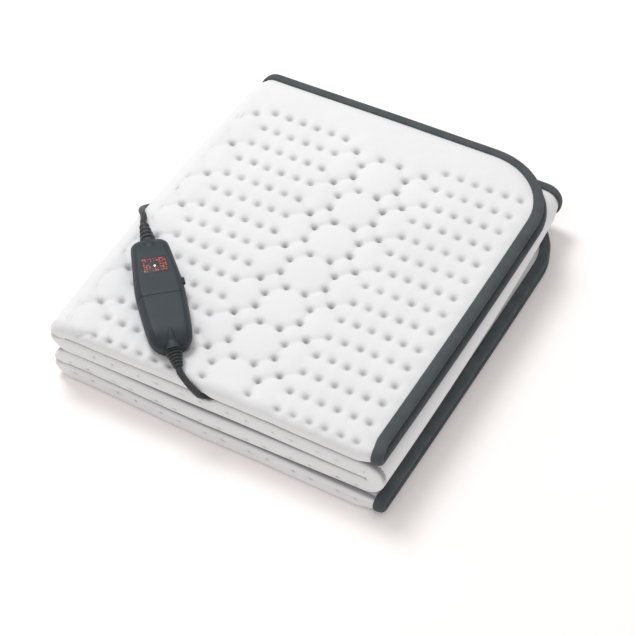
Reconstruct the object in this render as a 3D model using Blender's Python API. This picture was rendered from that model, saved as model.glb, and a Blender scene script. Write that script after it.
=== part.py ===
"""A heated under-blanket, folded in half and then in four, with its hand controller on top.

Metres, +Z up. The front is the long folded side at -Y, the left turn is at -X, the bound ends at +X.
The cloth is laid out flat as (along, across) and folded by two maps: a hairpin at the front, which
doubles it, and three turns that lay the doubled cloth back and forth.
"""
import bpy
import bmesh
from math import cos, hypot, pi, radians, sin, sqrt
from mathutils import Vector
from mathutils.geometry import delaunay_2d_cdt

# --- the cloth, folded -------------------------------------------------------------------------
CLOTH_THICK = 0.0079
SLIT = 0.0005                 # air between two layers that lie on each other
FRONT_Y = -0.1894             # outside of the front fold
BACK_Y = 0.1902               # bound long edges of the cloth
END_1_X = 0.1527              # bound end of the top double layer
LEFT_TURN_X = -0.1680         # outside of the turn that joins double layers 1 and 2
RIGHT_TURN_X = 0.1538         # the same for 2 and 3
LOW_TURN_X = -0.1670          # the same for 3 and 4
END_4_X = 0.1583              # bound end of the bottom double layer
CORNER_RADIUS = 0.0725
ARC_STEPS = 8                 # steps round each half turn
CORNER_STEPS = 7
FLAT_STEPS = 3                # stops from the front fold to the back of the cloth

# --- edge of the cloth and its binding ---------------------------------------------------------
EDGE_HALF = 0.0018            # half thickness under the binding
EDGE_EASE = 0.0005            # air between the cloth and the inside of the binding
EDGE_BAND = 0.0095            # width of that thin band
EDGE_SLOPE = 0.0230           # where the cloth has its full thickness again
BINDING_WIDTH = 0.0087        # the part of the binding that lies on the cloth
BINDING_NOSE = 0.0014         # how far it stands out past the cloth
GAP = 0.0003                  # air between two pieces that touch

# --- quilting of the top face ------------------------------------------------------------------
PITCH = 0.0148                # from dot to dot along the row
ROW = 1.55 * PITCH            # from row to row
PATTERN_X = 3.5 * PITCH       # first column of the right block
PATTERN_Y = 9.3 * PITCH       # first row
ROWS = 15
BLOCK_COLUMNS = 6
BLOCK_STARTS = (0, -12)
DOT_DEPTH = 0.0024
BUBBLE_RISE = 0.0008
# dots round the big bubble in the band between the blocks: (column, row) from its middle
RING_DOTS = ((-0.62, -1.0), (0.65, -1.0), (-1.5, -0.38), (1.5, -0.38), (-1.5, 0.38), (1.5, 0.38))
SMALL_DOTS = ((-2.35, -1.0), (2.4, -0.95))
BUBBLES = ((0.0, 0.0), (-2.5, 0.0), (2.5, 0.0))
BUBBLE_COLUMN = -3.5
BUBBLE_ROW = 1.46
BUBBLE_EVERY = 2

# --- controller --------------------------------------------------------------------------------
CONTROL_AT = (-0.0945, -0.1246)
CONTROL_TURN = radians(-49.7) # its mains end points to the front right
CONTROL_SPLIT_Z = 0.0100       # parting plane above its underside
CONTROL_STEP_U = 0.0083        # the step across the upper shell
STEP_DEPTH = 0.0007
# half outline and height of the housing: place along it, half width, height
HOUSING = (
    (-0.0652, 0.0085, 0.0125),
    (-0.0637, 0.0125, 0.0140),
    (-0.0603, 0.0158, 0.0160),
    (-0.0555, 0.0170, 0.0180),
    (-0.0440, 0.0182, 0.0190),
    (-0.0235, 0.0202, 0.0193),
    (-0.0080, 0.0214, 0.0194),
    (0.0060, 0.0214, 0.0194),
    (0.0265, 0.0206, 0.0194),
    (0.0430, 0.0196, 0.0192),
    (0.0522, 0.0184, 0.0178),
    (0.0583, 0.0158, 0.0152),
    (0.0620, 0.0118, 0.0125),
    (0.0635, 0.0085, 0.0108),
)
CONTROL_LIFT = 0.0012          # the underside rests on the crowns of the quilting
WINDOW_U = -0.0275
WINDOW_SIZE = (0.0195, 0.0215, 0.0016)
WINDOW_PROUD = 0.0002
KEY_U = -0.0085
KEY_TRAVEL = 0.0050
KEY_SIZE = (0.0070, 0.0052, 0.0030)
KEY_Z = 0.0126
KEY_PROUD = 0.0014
KEY_GAP = 0.0003

# --- strain reliefs and cords ------------------------------------------------------------------
CORD = 0.0058
RELIEF_SIDES = 16
LEAD_RELIEF_Z = 0.0092
MAINS_RELIEF_Z = 0.0082
MAINS_RELIEF_DIP = radians(20)
MAINS_RELIEF_YAW = radians(5)
LEAD_RELIEF_DIP = radians(6)
SOCKET_AT = (-0.1090, 0.1989, 0.0334)
SOCKET_SIZE = (0.0300, 0.0130, 0.0150)

# centre line of the cord from the controller over the left fold and round the corner to its socket
LEAD_ROUTE = (
    (-0.1585, -0.0462, 0.0730),
    (-0.1642, -0.0395, 0.0700),
    (-0.1705, -0.0315, 0.0640),
    (-0.1754, -0.0210, 0.0552),
    (-0.1761, -0.0070, 0.0456),
    (-0.1724, 0.0105, 0.0380),
    (-0.1682, 0.0250, 0.0342),
    (-0.1662, 0.0420, 0.0334),
    (-0.1660, 0.0650, 0.0334),
    (-0.1656, 0.0900, 0.0334),
    (-0.1652, 0.1150, 0.0334),
    (-0.1660, 0.1380, 0.0330),
    (-0.1688, 0.1580, 0.0318),
    (-0.1712, 0.1750, 0.0306),
    (-0.1690, 0.1900, 0.0300),
    (-0.1610, 0.2005, 0.0303),
    (-0.1490, 0.2048, 0.0315),
)
# the mains cord: over the front fold, into the slit under the top double layer, out at the back
MAINS_ROUTE = (
    (-0.0338, -0.1900, 0.0662),
    (-0.0285, -0.1916, 0.0627),
    (-0.0240, -0.1920, 0.0594),
    (-0.0206, -0.1916, 0.0560),
    (-0.0178, -0.1904, 0.0525),
    (-0.0146, -0.1857, 0.0505),
    (-0.0098, -0.1785, 0.0502),
    (-0.0042, -0.1680, 0.0502),
    (0.0025, -0.1545, 0.0502),
    (0.0112, -0.1298, 0.0502),
    (0.0226, -0.1000, 0.0502),
    (0.0360, -0.0650, 0.0502),
    (0.0500, -0.0250, 0.0502),
    (0.0620, 0.0200, 0.0502),
    (0.0690, 0.0650, 0.0502),
    (0.0710, 0.1100, 0.0502),
    (0.0640, 0.1450, 0.0502),
    (0.0580, 0.1720, 0.0502),
    (0.0565, 0.1938, 0.0500),
    (0.0510, 0.2033, 0.0480),
    (0.0410, 0.2078, 0.0440),
    (0.0290, 0.2098, 0.0385),
    (0.0170, 0.2093, 0.0315),
    (0.0050, 0.2068, 0.0230),
    (-0.0070, 0.2028, 0.0145),
    (-0.0180, 0.1985, 0.0075),
    (-0.0272, 0.1959, 0.0047),
)
GROOVE_DEPTH = 0.0036
GROOVE_HALF = 0.0085

# --- the put-away length, its tie and the plug -------------------------------------------------
HANK_RIGHT_X = -0.0450        # right end of the straight runs
HANK_RUN = 0.1050
HANK_NEAR_Y = 0.1957          # centre of the run nearest to the blanket
HANK_LOOP = 0.0214            # outer loops' radius, to the middle of the cord
HANK_WRAPS = 2                # turns side by side, and one above another
HANK_LIFT = 0.0011
TIE_WIDTH = 0.0120
TIE_THICK = 0.0008
TAIL_ROUTE = (
    (-0.0287, 0.2384, 0.0096),
    (-0.0200, 0.2383, 0.0094),
    (-0.0100, 0.2375, 0.0087),
    (0.0010, 0.2350, 0.0078),
    (0.0120, 0.2307, 0.0072),
)
PLUG_AT = (0.0560, 0.2222)
PLUG_TURN = radians(-14)
PLUG_HEIGHT = 0.0138
# half outline of the flat plug: place along it from the cord to the pins, half width
PLUG_OUTLINE = (
    (-0.0180, 0.0068),
    (-0.0120, 0.0082),
    (-0.0020, 0.0120),
    (0.0120, 0.0129),
    (0.0175, 0.0129),
)
PIN_LENGTH = 0.0190
PIN_RADIUS = 0.0020
PIN_SPACING = 0.0186

CORD_PIECES = (
    "lead_relief", "mains_relief", "lead_socket", "socket_relief", "mains_hank", "hank_tie",
    "plug_body", "plug_relief", "plug_pin_left", "plug_pin_right",
)

# --- derived -----------------------------------------------------------------------------------
HALF = CLOTH_THICK / 2
DOUBLE = 2 * CLOTH_THICK + SLIT
LEVEL = DOUBLE + SLIT                     # from one double layer's middle to the next
STACK = 4 * DOUBLE + 3 * SLIT
HAIRPIN = SLIT / 2 + HALF                 # middle radius of the front fold
TURN = SLIT / 2 + DOUBLE / 2              # middle radius of a turn
TURN_OUT = SLIT / 2 + DOUBLE
FOLD_Y = FRONT_Y + HAIRPIN + HALF         # axis of the front fold
HAIRPIN_HALF = pi / 2 * HAIRPIN           # cloth used up on each side of the fold's crest
REACH = BACK_Y - FOLD_Y + HAIRPIN_HALF    # from the crest to a long edge
TURN_X = (LEFT_TURN_X + TURN_OUT, RIGHT_TURN_X - TURN_OUT, LOW_TURN_X + TURN_OUT)
RUNS = (
    END_1_X - TURN_X[0],
    TURN_X[1] - TURN_X[0],
    TURN_X[1] - TURN_X[2],
    END_4_X - TURN_X[2],
)
TURN_LENGTH = pi * TURN
RUN_STARTS = tuple(sum(RUNS[:i]) + i * TURN_LENGTH for i in range(4))
LENGTH = RUN_STARTS[3] + RUNS[3]
SLIT_1_Z = STACK - DOUBLE - SLIT / 2      # the slit under the top double layer

# how uneven the folds lie: place along the cloth, push of the front fold, and push sideways at the
# front, the middle and the back
UNEVEN = (
    (0.0, -0.0020, -0.0025, 0.0005, -0.0004, 0.0),
    (RUNS[0] / 2, 0.0010, 0.0, 0.0, 0.0, 0.0),
    (RUNS[0] + TURN_LENGTH / 2, 0.0015, -0.0023, -0.0044, 0.0028, -0.0014),
    (RUN_STARTS[1] + RUNS[1] / 2, 0.0, 0.0, 0.0, 0.0, 0.0),
    (RUN_STARTS[2] - TURN_LENGTH / 2, -0.0030, 0.0005, 0.0014, -0.0050, -0.0030),
    (RUN_STARTS[2] + RUNS[2] / 2, -0.0028, 0.0, 0.0, 0.0, 0.0),
    (RUN_STARTS[3] - TURN_LENGTH / 2, 0.0022, -0.0030, 0.0, 0.0030, 0.0),
    (RUN_STARTS[3] + RUNS[3] / 2, -0.0045, 0.0, 0.0, 0.0, 0.0),
    (LENGTH, -0.0080, -0.0020, 0.0010, 0.0015, 0.0),
)
FRONT_FADE = 0.0900           # the push of the front fold fades out over this much cloth
END_STEP = 0.0032             # the top layer's end lies this far inside the one under it
STEP_FADE = 0.0180            # from nothing at the front fold


def ease(value):
    value = min(max(value, 0.0), 1.0)
    return value * value * (3 - 2 * value)


# --- scene helpers -----------------------------------------------------------------------------
def clear_scene():
    for item in list(bpy.data.objects):
        bpy.data.objects.remove(item)


def material(name, colour, roughness, metallic=0.0):
    made = bpy.data.materials.new(name)
    made.use_nodes = True
    shader = made.node_tree.nodes["Principled BSDF"]
    shader.inputs["Base Color"].default_value = (*colour, 1.0)
    shader.inputs["Roughness"].default_value = roughness
    shader.inputs["Metallic"].default_value = metallic
    return made


def add_object(name, mesh, look, parent=None):
    item = bpy.data.objects.new(name, mesh)
    bpy.context.collection.objects.link(item)
    item.data.materials.append(look)
    item.parent = parent
    return item


def mesh_object(name, points, faces, look, parent=None, smooth_angle=40):
    mesh = bpy.data.meshes.new(name)
    mesh.from_pydata(points, [], faces)
    mesh.update()
    mesh.shade_smooth()
    mesh.set_sharp_from_angle(angle=radians(smooth_angle))
    return add_object(name, mesh, look, parent)


def ring_faces(rings, count, closed=False, capped=True):
    """Quads between rings of `count` points each, one after another, with flat ends."""
    faces = []
    for i in range(rings if closed else rings - 1):
        low = i * count
        high = (i + 1) % rings * count
        for k in range(count):
            m = (k + 1) % count
            faces.append((low + k, low + m, high + m, high + k))
    if not closed and capped:
        faces.append(tuple(reversed(range(count))))
        faces.append(tuple(range((rings - 1) * count, rings * count)))
    return faces


# --- how the flat cloth is folded --------------------------------------------------------------
def uneven_push(along, across):
    """How far the folds stray from straight at this place of the flat cloth, in x and y."""
    rows = [row for row in UNEVEN if row[0] <= along] or [UNEVEN[0]]
    low = rows[-1]
    after = [row for row in UNEVEN if row[0] > along] or [UNEVEN[-1]]
    high = after[0]
    span = max(high[0] - low[0], 1e-6)
    part = ease((along - low[0]) / span)
    pushes = (a + (b - a) * part for a, b in zip(low[1:], high[1:]))
    front, side_front, side_middle, side_back, back_push = pushes
    step = END_STEP * (1 - ease(2 * along / RUNS[0])) * ease(across / STEP_FADE)
    back = min(abs(across) / REACH, 1.0)
    side = (
        side_front * (1 - back) * (1 - 2 * back)
        + side_middle * 4 * back * (1 - back)
        + side_back * back * (2 * back - 1)
    )
    fade = 1 - ease((abs(across) - 2 * HAIRPIN_HALF) / FRONT_FADE)
    return side - step, front * fade + back_push * ease((back - 0.6) / 0.4)


def hairpin(across, out):
    """The first fold: (y, height above the doubled cloth's middle)."""
    if abs(across) <= HAIRPIN_HALF:
        angle = across / HAIRPIN
        return FOLD_Y - (HAIRPIN + out) * cos(angle), (HAIRPIN + out) * sin(angle)
    side = 1 if across > 0 else -1
    return FOLD_Y + abs(across) - HAIRPIN_HALF, side * (HAIRPIN + out)


def serpentine(along, height):
    """The three turns: (x, z) for a place along the cloth and a height above its middle."""
    for i in range(4):
        heading = -1 if i % 2 == 0 else 1
        level = STACK - DOUBLE / 2 - i * LEVEL
        start_x = END_1_X if i == 0 else TURN_X[i - 1]
        local = along - RUN_STARTS[i]
        if local <= RUNS[i] or i == 3:
            return start_x + heading * local, level - heading * height
        local -= RUNS[i]
        if local < TURN_LENGTH:
            angle = local / TURN
            radius = TURN - heading * height
            return TURN_X[i] + heading * radius * sin(angle), level - TURN + radius * cos(angle)
    return None


def route_distance(x, y):
    """How far a point lies from the cord in the slit, seen from above."""
    best = 1.0
    for (ax, ay, _), (bx, by, _) in zip(SLIT_LINE, SLIT_LINE[1:]):
        dx, dy = bx - ax, by - ay
        part = ((x - ax) * dx + (y - ay) * dy) / (dx * dx + dy * dy)
        part = min(max(part, 0.0), 1.0)
        best = min(best, hypot(x - ax - part * dx, y - ay - part * dy))
    return best


def part_slit(x, y, z):
    """The two layers beside the slit give way to the cord that lies in it."""
    offset = z - SLIT_1_Z
    if abs(offset) >= CLOTH_THICK:
        return z
    distance = route_distance(x, y)
    if distance >= GROOVE_HALF:
        return z
    opening = GROOVE_DEPTH * cos(pi / 2 * distance / GROOVE_HALF) ** 2
    return z + (opening if offset > 0 else -opening) * (1 - abs(offset) / CLOTH_THICK)


def fold(along, across, out):
    """Where a place of the flat cloth lies once it is folded; out is the height off its middle."""
    y, height = hairpin(across, out)
    x, z = serpentine(along, height)
    push_x, push_y = uneven_push(along, across)
    x += push_x
    y += push_y
    return x, y, part_slit(x, y, z)


# --- the flat pattern --------------------------------------------------------------------------
def edge_distance(along, across):
    """Distance from the cloth's edge, a rectangle with round corners; positive inside."""
    dx = abs(along - LENGTH / 2) - (LENGTH / 2 - CORNER_RADIUS)
    dy = abs(across) - (REACH - CORNER_RADIUS)
    if dx > 0 and dy > 0:
        return CORNER_RADIUS - hypot(dx, dy)
    return CORNER_RADIUS - max(dx, dy)


def half_thickness(along, across):
    inside = edge_distance(along, across)
    return EDGE_HALF + (HALF - EDGE_HALF) * ease((inside - EDGE_BAND) / (EDGE_SLOPE - EDGE_BAND))


def spaced(low, high, count):
    return [low + (high - low) * i / count for i in range(count + 1)]


def flat_place(run, x, y, side):
    """The place of the flat cloth that lies at x, y in the first or second double layer."""
    along, across = 0.0, 0.0
    for _ in range(6):
        push_x, push_y = uneven_push(along, across)
        if run == 0:
            along = END_1_X - (x - push_x)
        else:
            along = RUN_STARTS[1] + (x - push_x) - TURN_X[0]
        across = side * (y - push_y - FOLD_Y + HAIRPIN_HALF)
    return along, across


def groove_crossings():
    """Where the cord crosses the back edges of double layers 1 and 2, as places along the cloth."""
    x = SLIT_LINE[-1][0]
    stops = []
    for run in (0, 1):
        middle = flat_place(run, x, BACK_Y, -1)[0]
        stops += [middle + k * GROOVE_HALF * 0.4 for k in (-3, -2, -1, 0, 1, 2, 3)]
    return sorted(stops)


def turn_stops():
    stops = []
    for i in range(3):
        start = RUN_STARTS[i] + RUNS[i]
        stops += spaced(start, start + TURN_LENGTH, ARC_STEPS)
    return stops


def along_stops():
    between = [RUN_STARTS[i] + RUNS[i] * k / 4 for i in range(4) for k in (1, 2, 3)]
    return sorted(turn_stops() + between)


def across_stops():
    return spaced(-HAIRPIN_HALF, HAIRPIN_HALF, ARC_STEPS)


def wide_stops():
    """The stops over the front fold, with a few more on the flat cloth at each side of it."""
    far = REACH - CORNER_RADIUS - 0.004
    flat = spaced(HAIRPIN_HALF, far, FLAT_STEPS)[1:]
    return [-t for t in reversed(flat)] + across_stops() + flat


def corner(along_sign, across_sign, inset):
    middle = (
        LENGTH / 2 + along_sign * (LENGTH / 2 - CORNER_RADIUS),
        across_sign * (REACH - CORNER_RADIUS),
    )
    radius = CORNER_RADIUS - inset
    start = {(-1, -1): 180, (1, -1): 270, (1, 1): 0, (-1, 1): 90}[(along_sign, across_sign)]
    angles = [radians(start + 90 * k / CORNER_STEPS) for k in range(CORNER_STEPS + 1)]
    return [(middle[0] + radius * cos(a), middle[1] + radius * sin(a), cos(a), sin(a)) for a in angles]


def edge_loop(inset):
    """Points round the cloth at a distance from its edge, with the outward direction of each."""
    straight = [s for s in along_stops() if CORNER_RADIUS + 0.002 < s < LENGTH - CORNER_RADIUS - 0.002]
    crossed = sorted(straight + groove_crossings())
    ends = wide_stops()
    loop = corner(-1, -1, inset)
    loop += [(s, -REACH + inset, 0.0, -1.0) for s in crossed]
    loop += corner(1, -1, inset)
    loop += [(LENGTH - inset, t, 1.0, 0.0) for t in ends]
    loop += corner(1, 1, inset)
    loop += [(s, REACH - inset, 0.0, 1.0) for s in reversed(straight)]
    loop += corner(-1, 1, inset)
    loop += [(inset, t, -1.0, 0.0) for t in reversed(ends)]
    return loop


def quilt_points():
    """Places and heights of the raised points of the top face, as (x, y, height)."""
    points = []

    def place(column, row, height):
        points.append((PATTERN_X + column * PITCH, PATTERN_Y - row * ROW, height))

    for start in BLOCK_STARTS:
        for row in range(ROWS):
            place(start - 0.5, row, 0.0)
            for column in range(BLOCK_COLUMNS):
                place(start + column, row, -DOT_DEPTH)
                place(start + column, row + 0.5, 0.0)
                place(start + column + 0.5, row, 0.0)
        for column in range(BLOCK_COLUMNS):
            place(start + column, -0.5, 0.0)
    for repeat in range(-1, ROWS // BUBBLE_EVERY + 1):
        middle = BUBBLE_ROW + repeat * BUBBLE_EVERY
        for column, row in RING_DOTS + SMALL_DOTS:
            place(BUBBLE_COLUMN + column, middle + row, -DOT_DEPTH)
        for column, row in BUBBLES:
            place(BUBBLE_COLUMN + column, middle + row, BUBBLE_RISE)
        for step in range(8):
            turn = 2 * pi * step / 8
            place(BUBBLE_COLUMN + 0.95 * cos(turn), middle + 0.62 * sin(turn), BUBBLE_RISE * 0.7)
    first, last = PATTERN_Y, PATTERN_Y - (ROWS - 1) * ROW
    return [p for p in points if last - ROW <= p[1] <= first + ROW]


def top_face_points():
    """The quilting's points, in the flat pattern, with their heights."""
    kept = []
    for x, y, height in quilt_points():
        along, across = flat_place(0, x, y, 1)
        if across > HAIRPIN_HALF + 0.002 and along < RUNS[0] - 0.002:
            kept.append((along, across, height))
    return kept


def groove_points():
    """Points along both sides of the cord's groove, on the layers above and below the slit."""
    kept = []
    for (ax, ay, _), (bx, by, _) in zip(SLIT_LINE, SLIT_LINE[1:]):
        length = hypot(bx - ax, by - ay)
        normal = (-(by - ay) / length, (bx - ax) / length)
        for part in (0.0, 0.5):
            for side in (-1.0, -0.68, -0.35, 0.0, 0.35, 0.68, 1.0):
                x = ax + (bx - ax) * part + normal[0] * side * GROOVE_HALF
                y = ay + (by - ay) * part + normal[1] * side * GROOVE_HALF
                for run in (0, 1):
                    along, across = flat_place(run, x, y, -1)
                    if -REACH + EDGE_SLOPE < across < -HAIRPIN_HALF - 0.001:
                        kept.append((along, across))
    return kept


def entrance_points():
    """Points on the rolls of double layers 1 and 2 where the cord slips in between them."""
    x = SLIT_LINE[1][0]
    kept = []
    for run in (0, 1):
        middle = flat_place(run, x, FOLD_Y, -1)[0]
        for step in range(-5, 6):
            for across in across_stops()[:ARC_STEPS // 2 + 1]:
                kept.append((middle + step * GROOVE_HALF * 0.4, across))
    return kept


def pattern_lines():
    """Straight lines of the pattern that the folds need, as the points on each."""
    lines = []
    for s in turn_stops():
        lines.append([(s, -REACH + EDGE_SLOPE), *((s, t) for t in wide_stops()), (s, REACH - EDGE_SLOPE)])
    inner = [s for s in along_stops() if CORNER_RADIUS + 0.002 < s < LENGTH - CORNER_RADIUS - 0.002]
    for t in across_stops():
        lines.append([(EDGE_SLOPE, t), *((s, t) for s in inner), (LENGTH - EDGE_SLOPE, t)])
    return lines


def flat_mesh(extra):
    """Triangles of the flat pattern. Returns its points, its triangles and the edge's point numbers."""
    points = []
    numbers = {}
    links = []

    def number(along, across):
        key = (round(along, 5), round(across, 5))
        if key not in numbers:
            numbers[key] = len(points)
            points.append(Vector((along, across)))
        return numbers[key]

    rim = []
    for inset in (0.0, EDGE_BAND, EDGE_SLOPE):
        loop = [number(s, t) for s, t, _, _ in edge_loop(inset)]
        rim = rim or loop
        links += [(a, b) for a, b in zip(loop, loop[1:] + loop[:1]) if a != b]
    for line in pattern_lines():
        stops = [number(s, t) for s, t in line]
        links += list(zip(stops, stops[1:]))
    for s, t in extra:
        if edge_distance(s, t) > EDGE_SLOPE + 0.0015:
            number(s, t)
    made, _, faces, origins, _, _ = delaunay_2d_cdt(points, links, [], 0, 1e-6)
    renumbered = {}
    for index, sources in enumerate(origins):
        for source in sources:
            renumbered[source] = index
    unique = []
    for source in rim:
        if not unique or renumbered[source] != unique[-1]:
            unique.append(renumbered[source])
    return made, faces, unique


def build_cloth(look, parent):
    raised = top_face_points()
    heights = {(round(s, 5), round(t, 5)): h for s, t, h in raised}
    outer = [(s, t) for s, t, _ in raised] + groove_points() + entrance_points()
    points, faces = [], []
    rims = []
    for side, extra in ((1, outer), (-1, [])):
        flat, triangles, rim = flat_mesh(extra)
        base = len(points)
        for place in flat:
            s, t = place
            lift = heights.get((round(s, 5), round(t, 5)), 0.0) if side > 0 else 0.0
            points.append(fold(s, t, side * half_thickness(s, t) + lift))
        for a, b, c in triangles:
            faces.append((base + a, base + c, base + b) if side > 0 else (base + a, base + b, base + c))
        rims.append([base + i for i in rim])
    upper, lower = rims
    for i in range(len(upper)):
        k = (i + 1) % len(upper)
        faces.append((upper[i], upper[k], lower[k], lower[i]))
    return mesh_object("blanket_cloth", points, faces, look, parent, 50)


def binding_section():
    """Outline of the folded tape across the edge: distance out from the edge, height off its middle."""
    full = HALF
    upper = (
        (-BINDING_WIDTH, full - 0.0006),
        (-BINDING_WIDTH + 0.0012, full),
        (-0.0028, full - 0.0001),
        (0.0002, full - 0.0010),
        (BINDING_NOSE, full - 0.0026),
    )
    inside = EDGE_HALF + EDGE_EASE
    outer = list(upper) + [(e, -w) for e, w in reversed(upper)]
    return outer + [(-BINDING_WIDTH, -inside), (GAP, -inside), (GAP, inside), (-BINDING_WIDTH, inside)]


def build_binding(look, parent):
    section = binding_section()
    loop = []
    for stop in edge_loop(0.0):
        if not loop or hypot(stop[0] - loop[-1][0], stop[1] - loop[-1][1]) > 1e-5:
            loop.append(stop)
    points = []
    for s, t, out_s, out_t in loop:
        for away, height in section:
            points.append(fold(s + out_s * away, t + out_t * away, height))
    faces = ring_faces(len(loop), len(section), closed=True)
    binding = mesh_object("edge_binding", points, faces, look, parent, 60)
    fix_normals(binding.data)
    return binding


# --- controller --------------------------------------------------------------------------------
def housing_at(u):
    """Half width and height of the housing at a place along it."""
    for low, high in zip(HOUSING, HOUSING[1:]):
        if low[0] <= u <= high[0]:
            part = (u - low[0]) / (high[0] - low[0])
            return tuple(a + (b - a) * part for a, b in zip(low[1:], high[1:]))
    return HOUSING[-1][1:]


def upper_ring(u, drop):
    width, height = housing_at(u)
    height -= drop
    base = CONTROL_SPLIT_Z + GAP / 2
    rise = height - base
    shape = ((0.0, 0.0), (0.0006, 0.35), (0.0024, 0.75), (0.0042, 0.94), (0.0062, 1.0))
    half = [(width - inset, base + rise * part) for inset, part in shape]
    return [(u, -v, z) for v, z in half] + [(u, v, z) for v, z in reversed(half)]


def lower_ring(u):
    width, _ = housing_at(u)
    top = CONTROL_SPLIT_Z - GAP / 2
    half = ((0.0, top), (0.0, 0.0045), (0.0012, 0.0018), (0.0036, 0.0))
    left = [(u, -(width - inset), z) for inset, z in half]
    return left + [(u, width - inset, z) for inset, z in reversed(half)]


def stations(first, last):
    inner = [row[0] for row in HOUSING if first + 0.0008 < row[0] < last - 0.0008]
    return [first] + inner + [last]


def loft(name, rings, look, parent, smooth_angle=35):
    points = [p for ring in rings for p in ring]
    made = mesh_object(name, points, ring_faces(len(rings), len(rings[0])), look, parent, smooth_angle)
    fix_normals(made.data)
    return made


def fix_normals(mesh):
    shell = bmesh.new()
    shell.from_mesh(mesh)
    bmesh.ops.recalc_face_normals(shell, faces=shell.faces)
    shell.to_mesh(mesh)
    shell.free()


def box_object(name, size, at, look, parent, bevel=0.0):
    shell = bmesh.new()
    bmesh.ops.create_cube(shell, size=1.0)
    bmesh.ops.scale(shell, vec=size, verts=shell.verts)
    if bevel:
        bmesh.ops.bevel(shell, geom=shell.edges, offset=bevel, segments=2, affect="EDGES", profile=0.5)
    mesh = bpy.data.meshes.new(name)
    shell.to_mesh(mesh)
    shell.free()
    made = add_object(name, mesh, look, parent)
    made.location = at
    return made


def cut(item, size, at, parent):
    tool = box_object(item.name + "_cutter", size, at, item.data.materials[0], parent)
    tool.hide_render = True
    tool.display_type = "WIRE"
    modifier = item.modifiers.new("pocket", "BOOLEAN")
    modifier.operation = "DIFFERENCE"
    modifier.solver = "EXACT"
    modifier.object = tool
    return tool


def key_wall():
    return housing_at(KEY_U)[0]


def build_controller(plastic, glass, key_look, parent):
    hub = bpy.data.objects.new("controller", None)
    bpy.context.collection.objects.link(hub)
    hub.parent = parent
    hub.location = (*CONTROL_AT, STACK + CONTROL_LIFT)
    hub.rotation_euler = (0.0, 0.0, CONTROL_TURN)
    first, last = HOUSING[0][0], HOUSING[-1][0]
    loft("controller_base", [lower_ring(u) for u in stations(first, last)], plastic, hub)
    cover = [upper_ring(u, STEP_DEPTH) for u in stations(first, CONTROL_STEP_U - GAP)]
    cover_item = loft("controller_cover", cover, plastic, hub)
    loft("controller_cap", [upper_ring(u, 0.0) for u in stations(CONTROL_STEP_U, last)], plastic, hub)
    top = housing_at(WINDOW_U)[1] - STEP_DEPTH
    pocket = tuple(s + 2 * GAP for s in WINDOW_SIZE)
    cut(cover_item, pocket, (WINDOW_U, 0.0, top - WINDOW_SIZE[2] / 2 + WINDOW_PROUD), hub)
    box_object(
        "display_window", WINDOW_SIZE,
        (WINDOW_U, 0.0, top - WINDOW_SIZE[2] / 2 + WINDOW_PROUD), glass, hub,
    )
    wall = key_wall()
    key_at = (KEY_U, wall + KEY_PROUD - KEY_SIZE[1] / 2, KEY_Z)
    slot = (KEY_SIZE[0] + KEY_TRAVEL + 2 * KEY_GAP, KEY_SIZE[1] + 2 * KEY_GAP, KEY_SIZE[2] + 2 * KEY_GAP)
    cut(cover_item, slot, (KEY_U + KEY_TRAVEL / 2, key_at[1], KEY_Z), hub)
    box_object("side_key", KEY_SIZE, key_at, key_look, hub, 0.0005)
    return hub


def turned(name, profile, look, parent, at, heading, sides=RELIEF_SIDES):
    """A turned piece along `heading` from `at`; the profile is (distance, radius)."""
    along = Vector(heading).normalized()
    side = along.cross(Vector((0.0, 0.0, 1.0))).normalized()
    up = side.cross(along)
    rings = []
    for distance, radius in profile:
        middle = Vector(at) + along * distance
        ring = []
        for k in range(sides):
            turn = 2 * pi * k / sides
            ring.append(middle + (side * cos(turn) + up * sin(turn)) * radius)
        rings.append(ring)
    return loft(name, rings, look, parent, 50)


def relief_profile(length, root, tip, ribs):
    """A tapered strain relief: a smooth collar, then ribs parted by narrow grooves."""
    profile = [(0.0, root), (length * 0.16, root)]
    span = length * 0.76 / ribs
    for i in range(ribs):
        start = length * 0.20 + span * i
        radius = root + (tip - root) * (start / length) ** 0.8
        profile += [
            (start, radius * 0.86),
            (start + span * 0.25, radius),
            (start + span * 0.75, radius * 0.97),
        ]
    return profile + [(length, tip)]


LEAD_RELIEF = (0.0240, 0.0068, 0.0038, 3)
MAINS_RELIEF = (0.0158, 0.0076, 0.0036, 5)
SOCKET_RELIEF = (0.0200, 0.0055, 0.0037, 3)
PLUG_RELIEF = (0.0200, 0.0050, 0.0036, 3)


def spin_about_z(x, y, turn):
    return x * cos(turn) - y * sin(turn), x * sin(turn) + y * cos(turn)


def control_place(u, z):
    x, y = spin_about_z(u, 0.0, CONTROL_TURN)
    return CONTROL_AT[0] + x, CONTROL_AT[1] + y, STACK + CONTROL_LIFT + z


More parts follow.
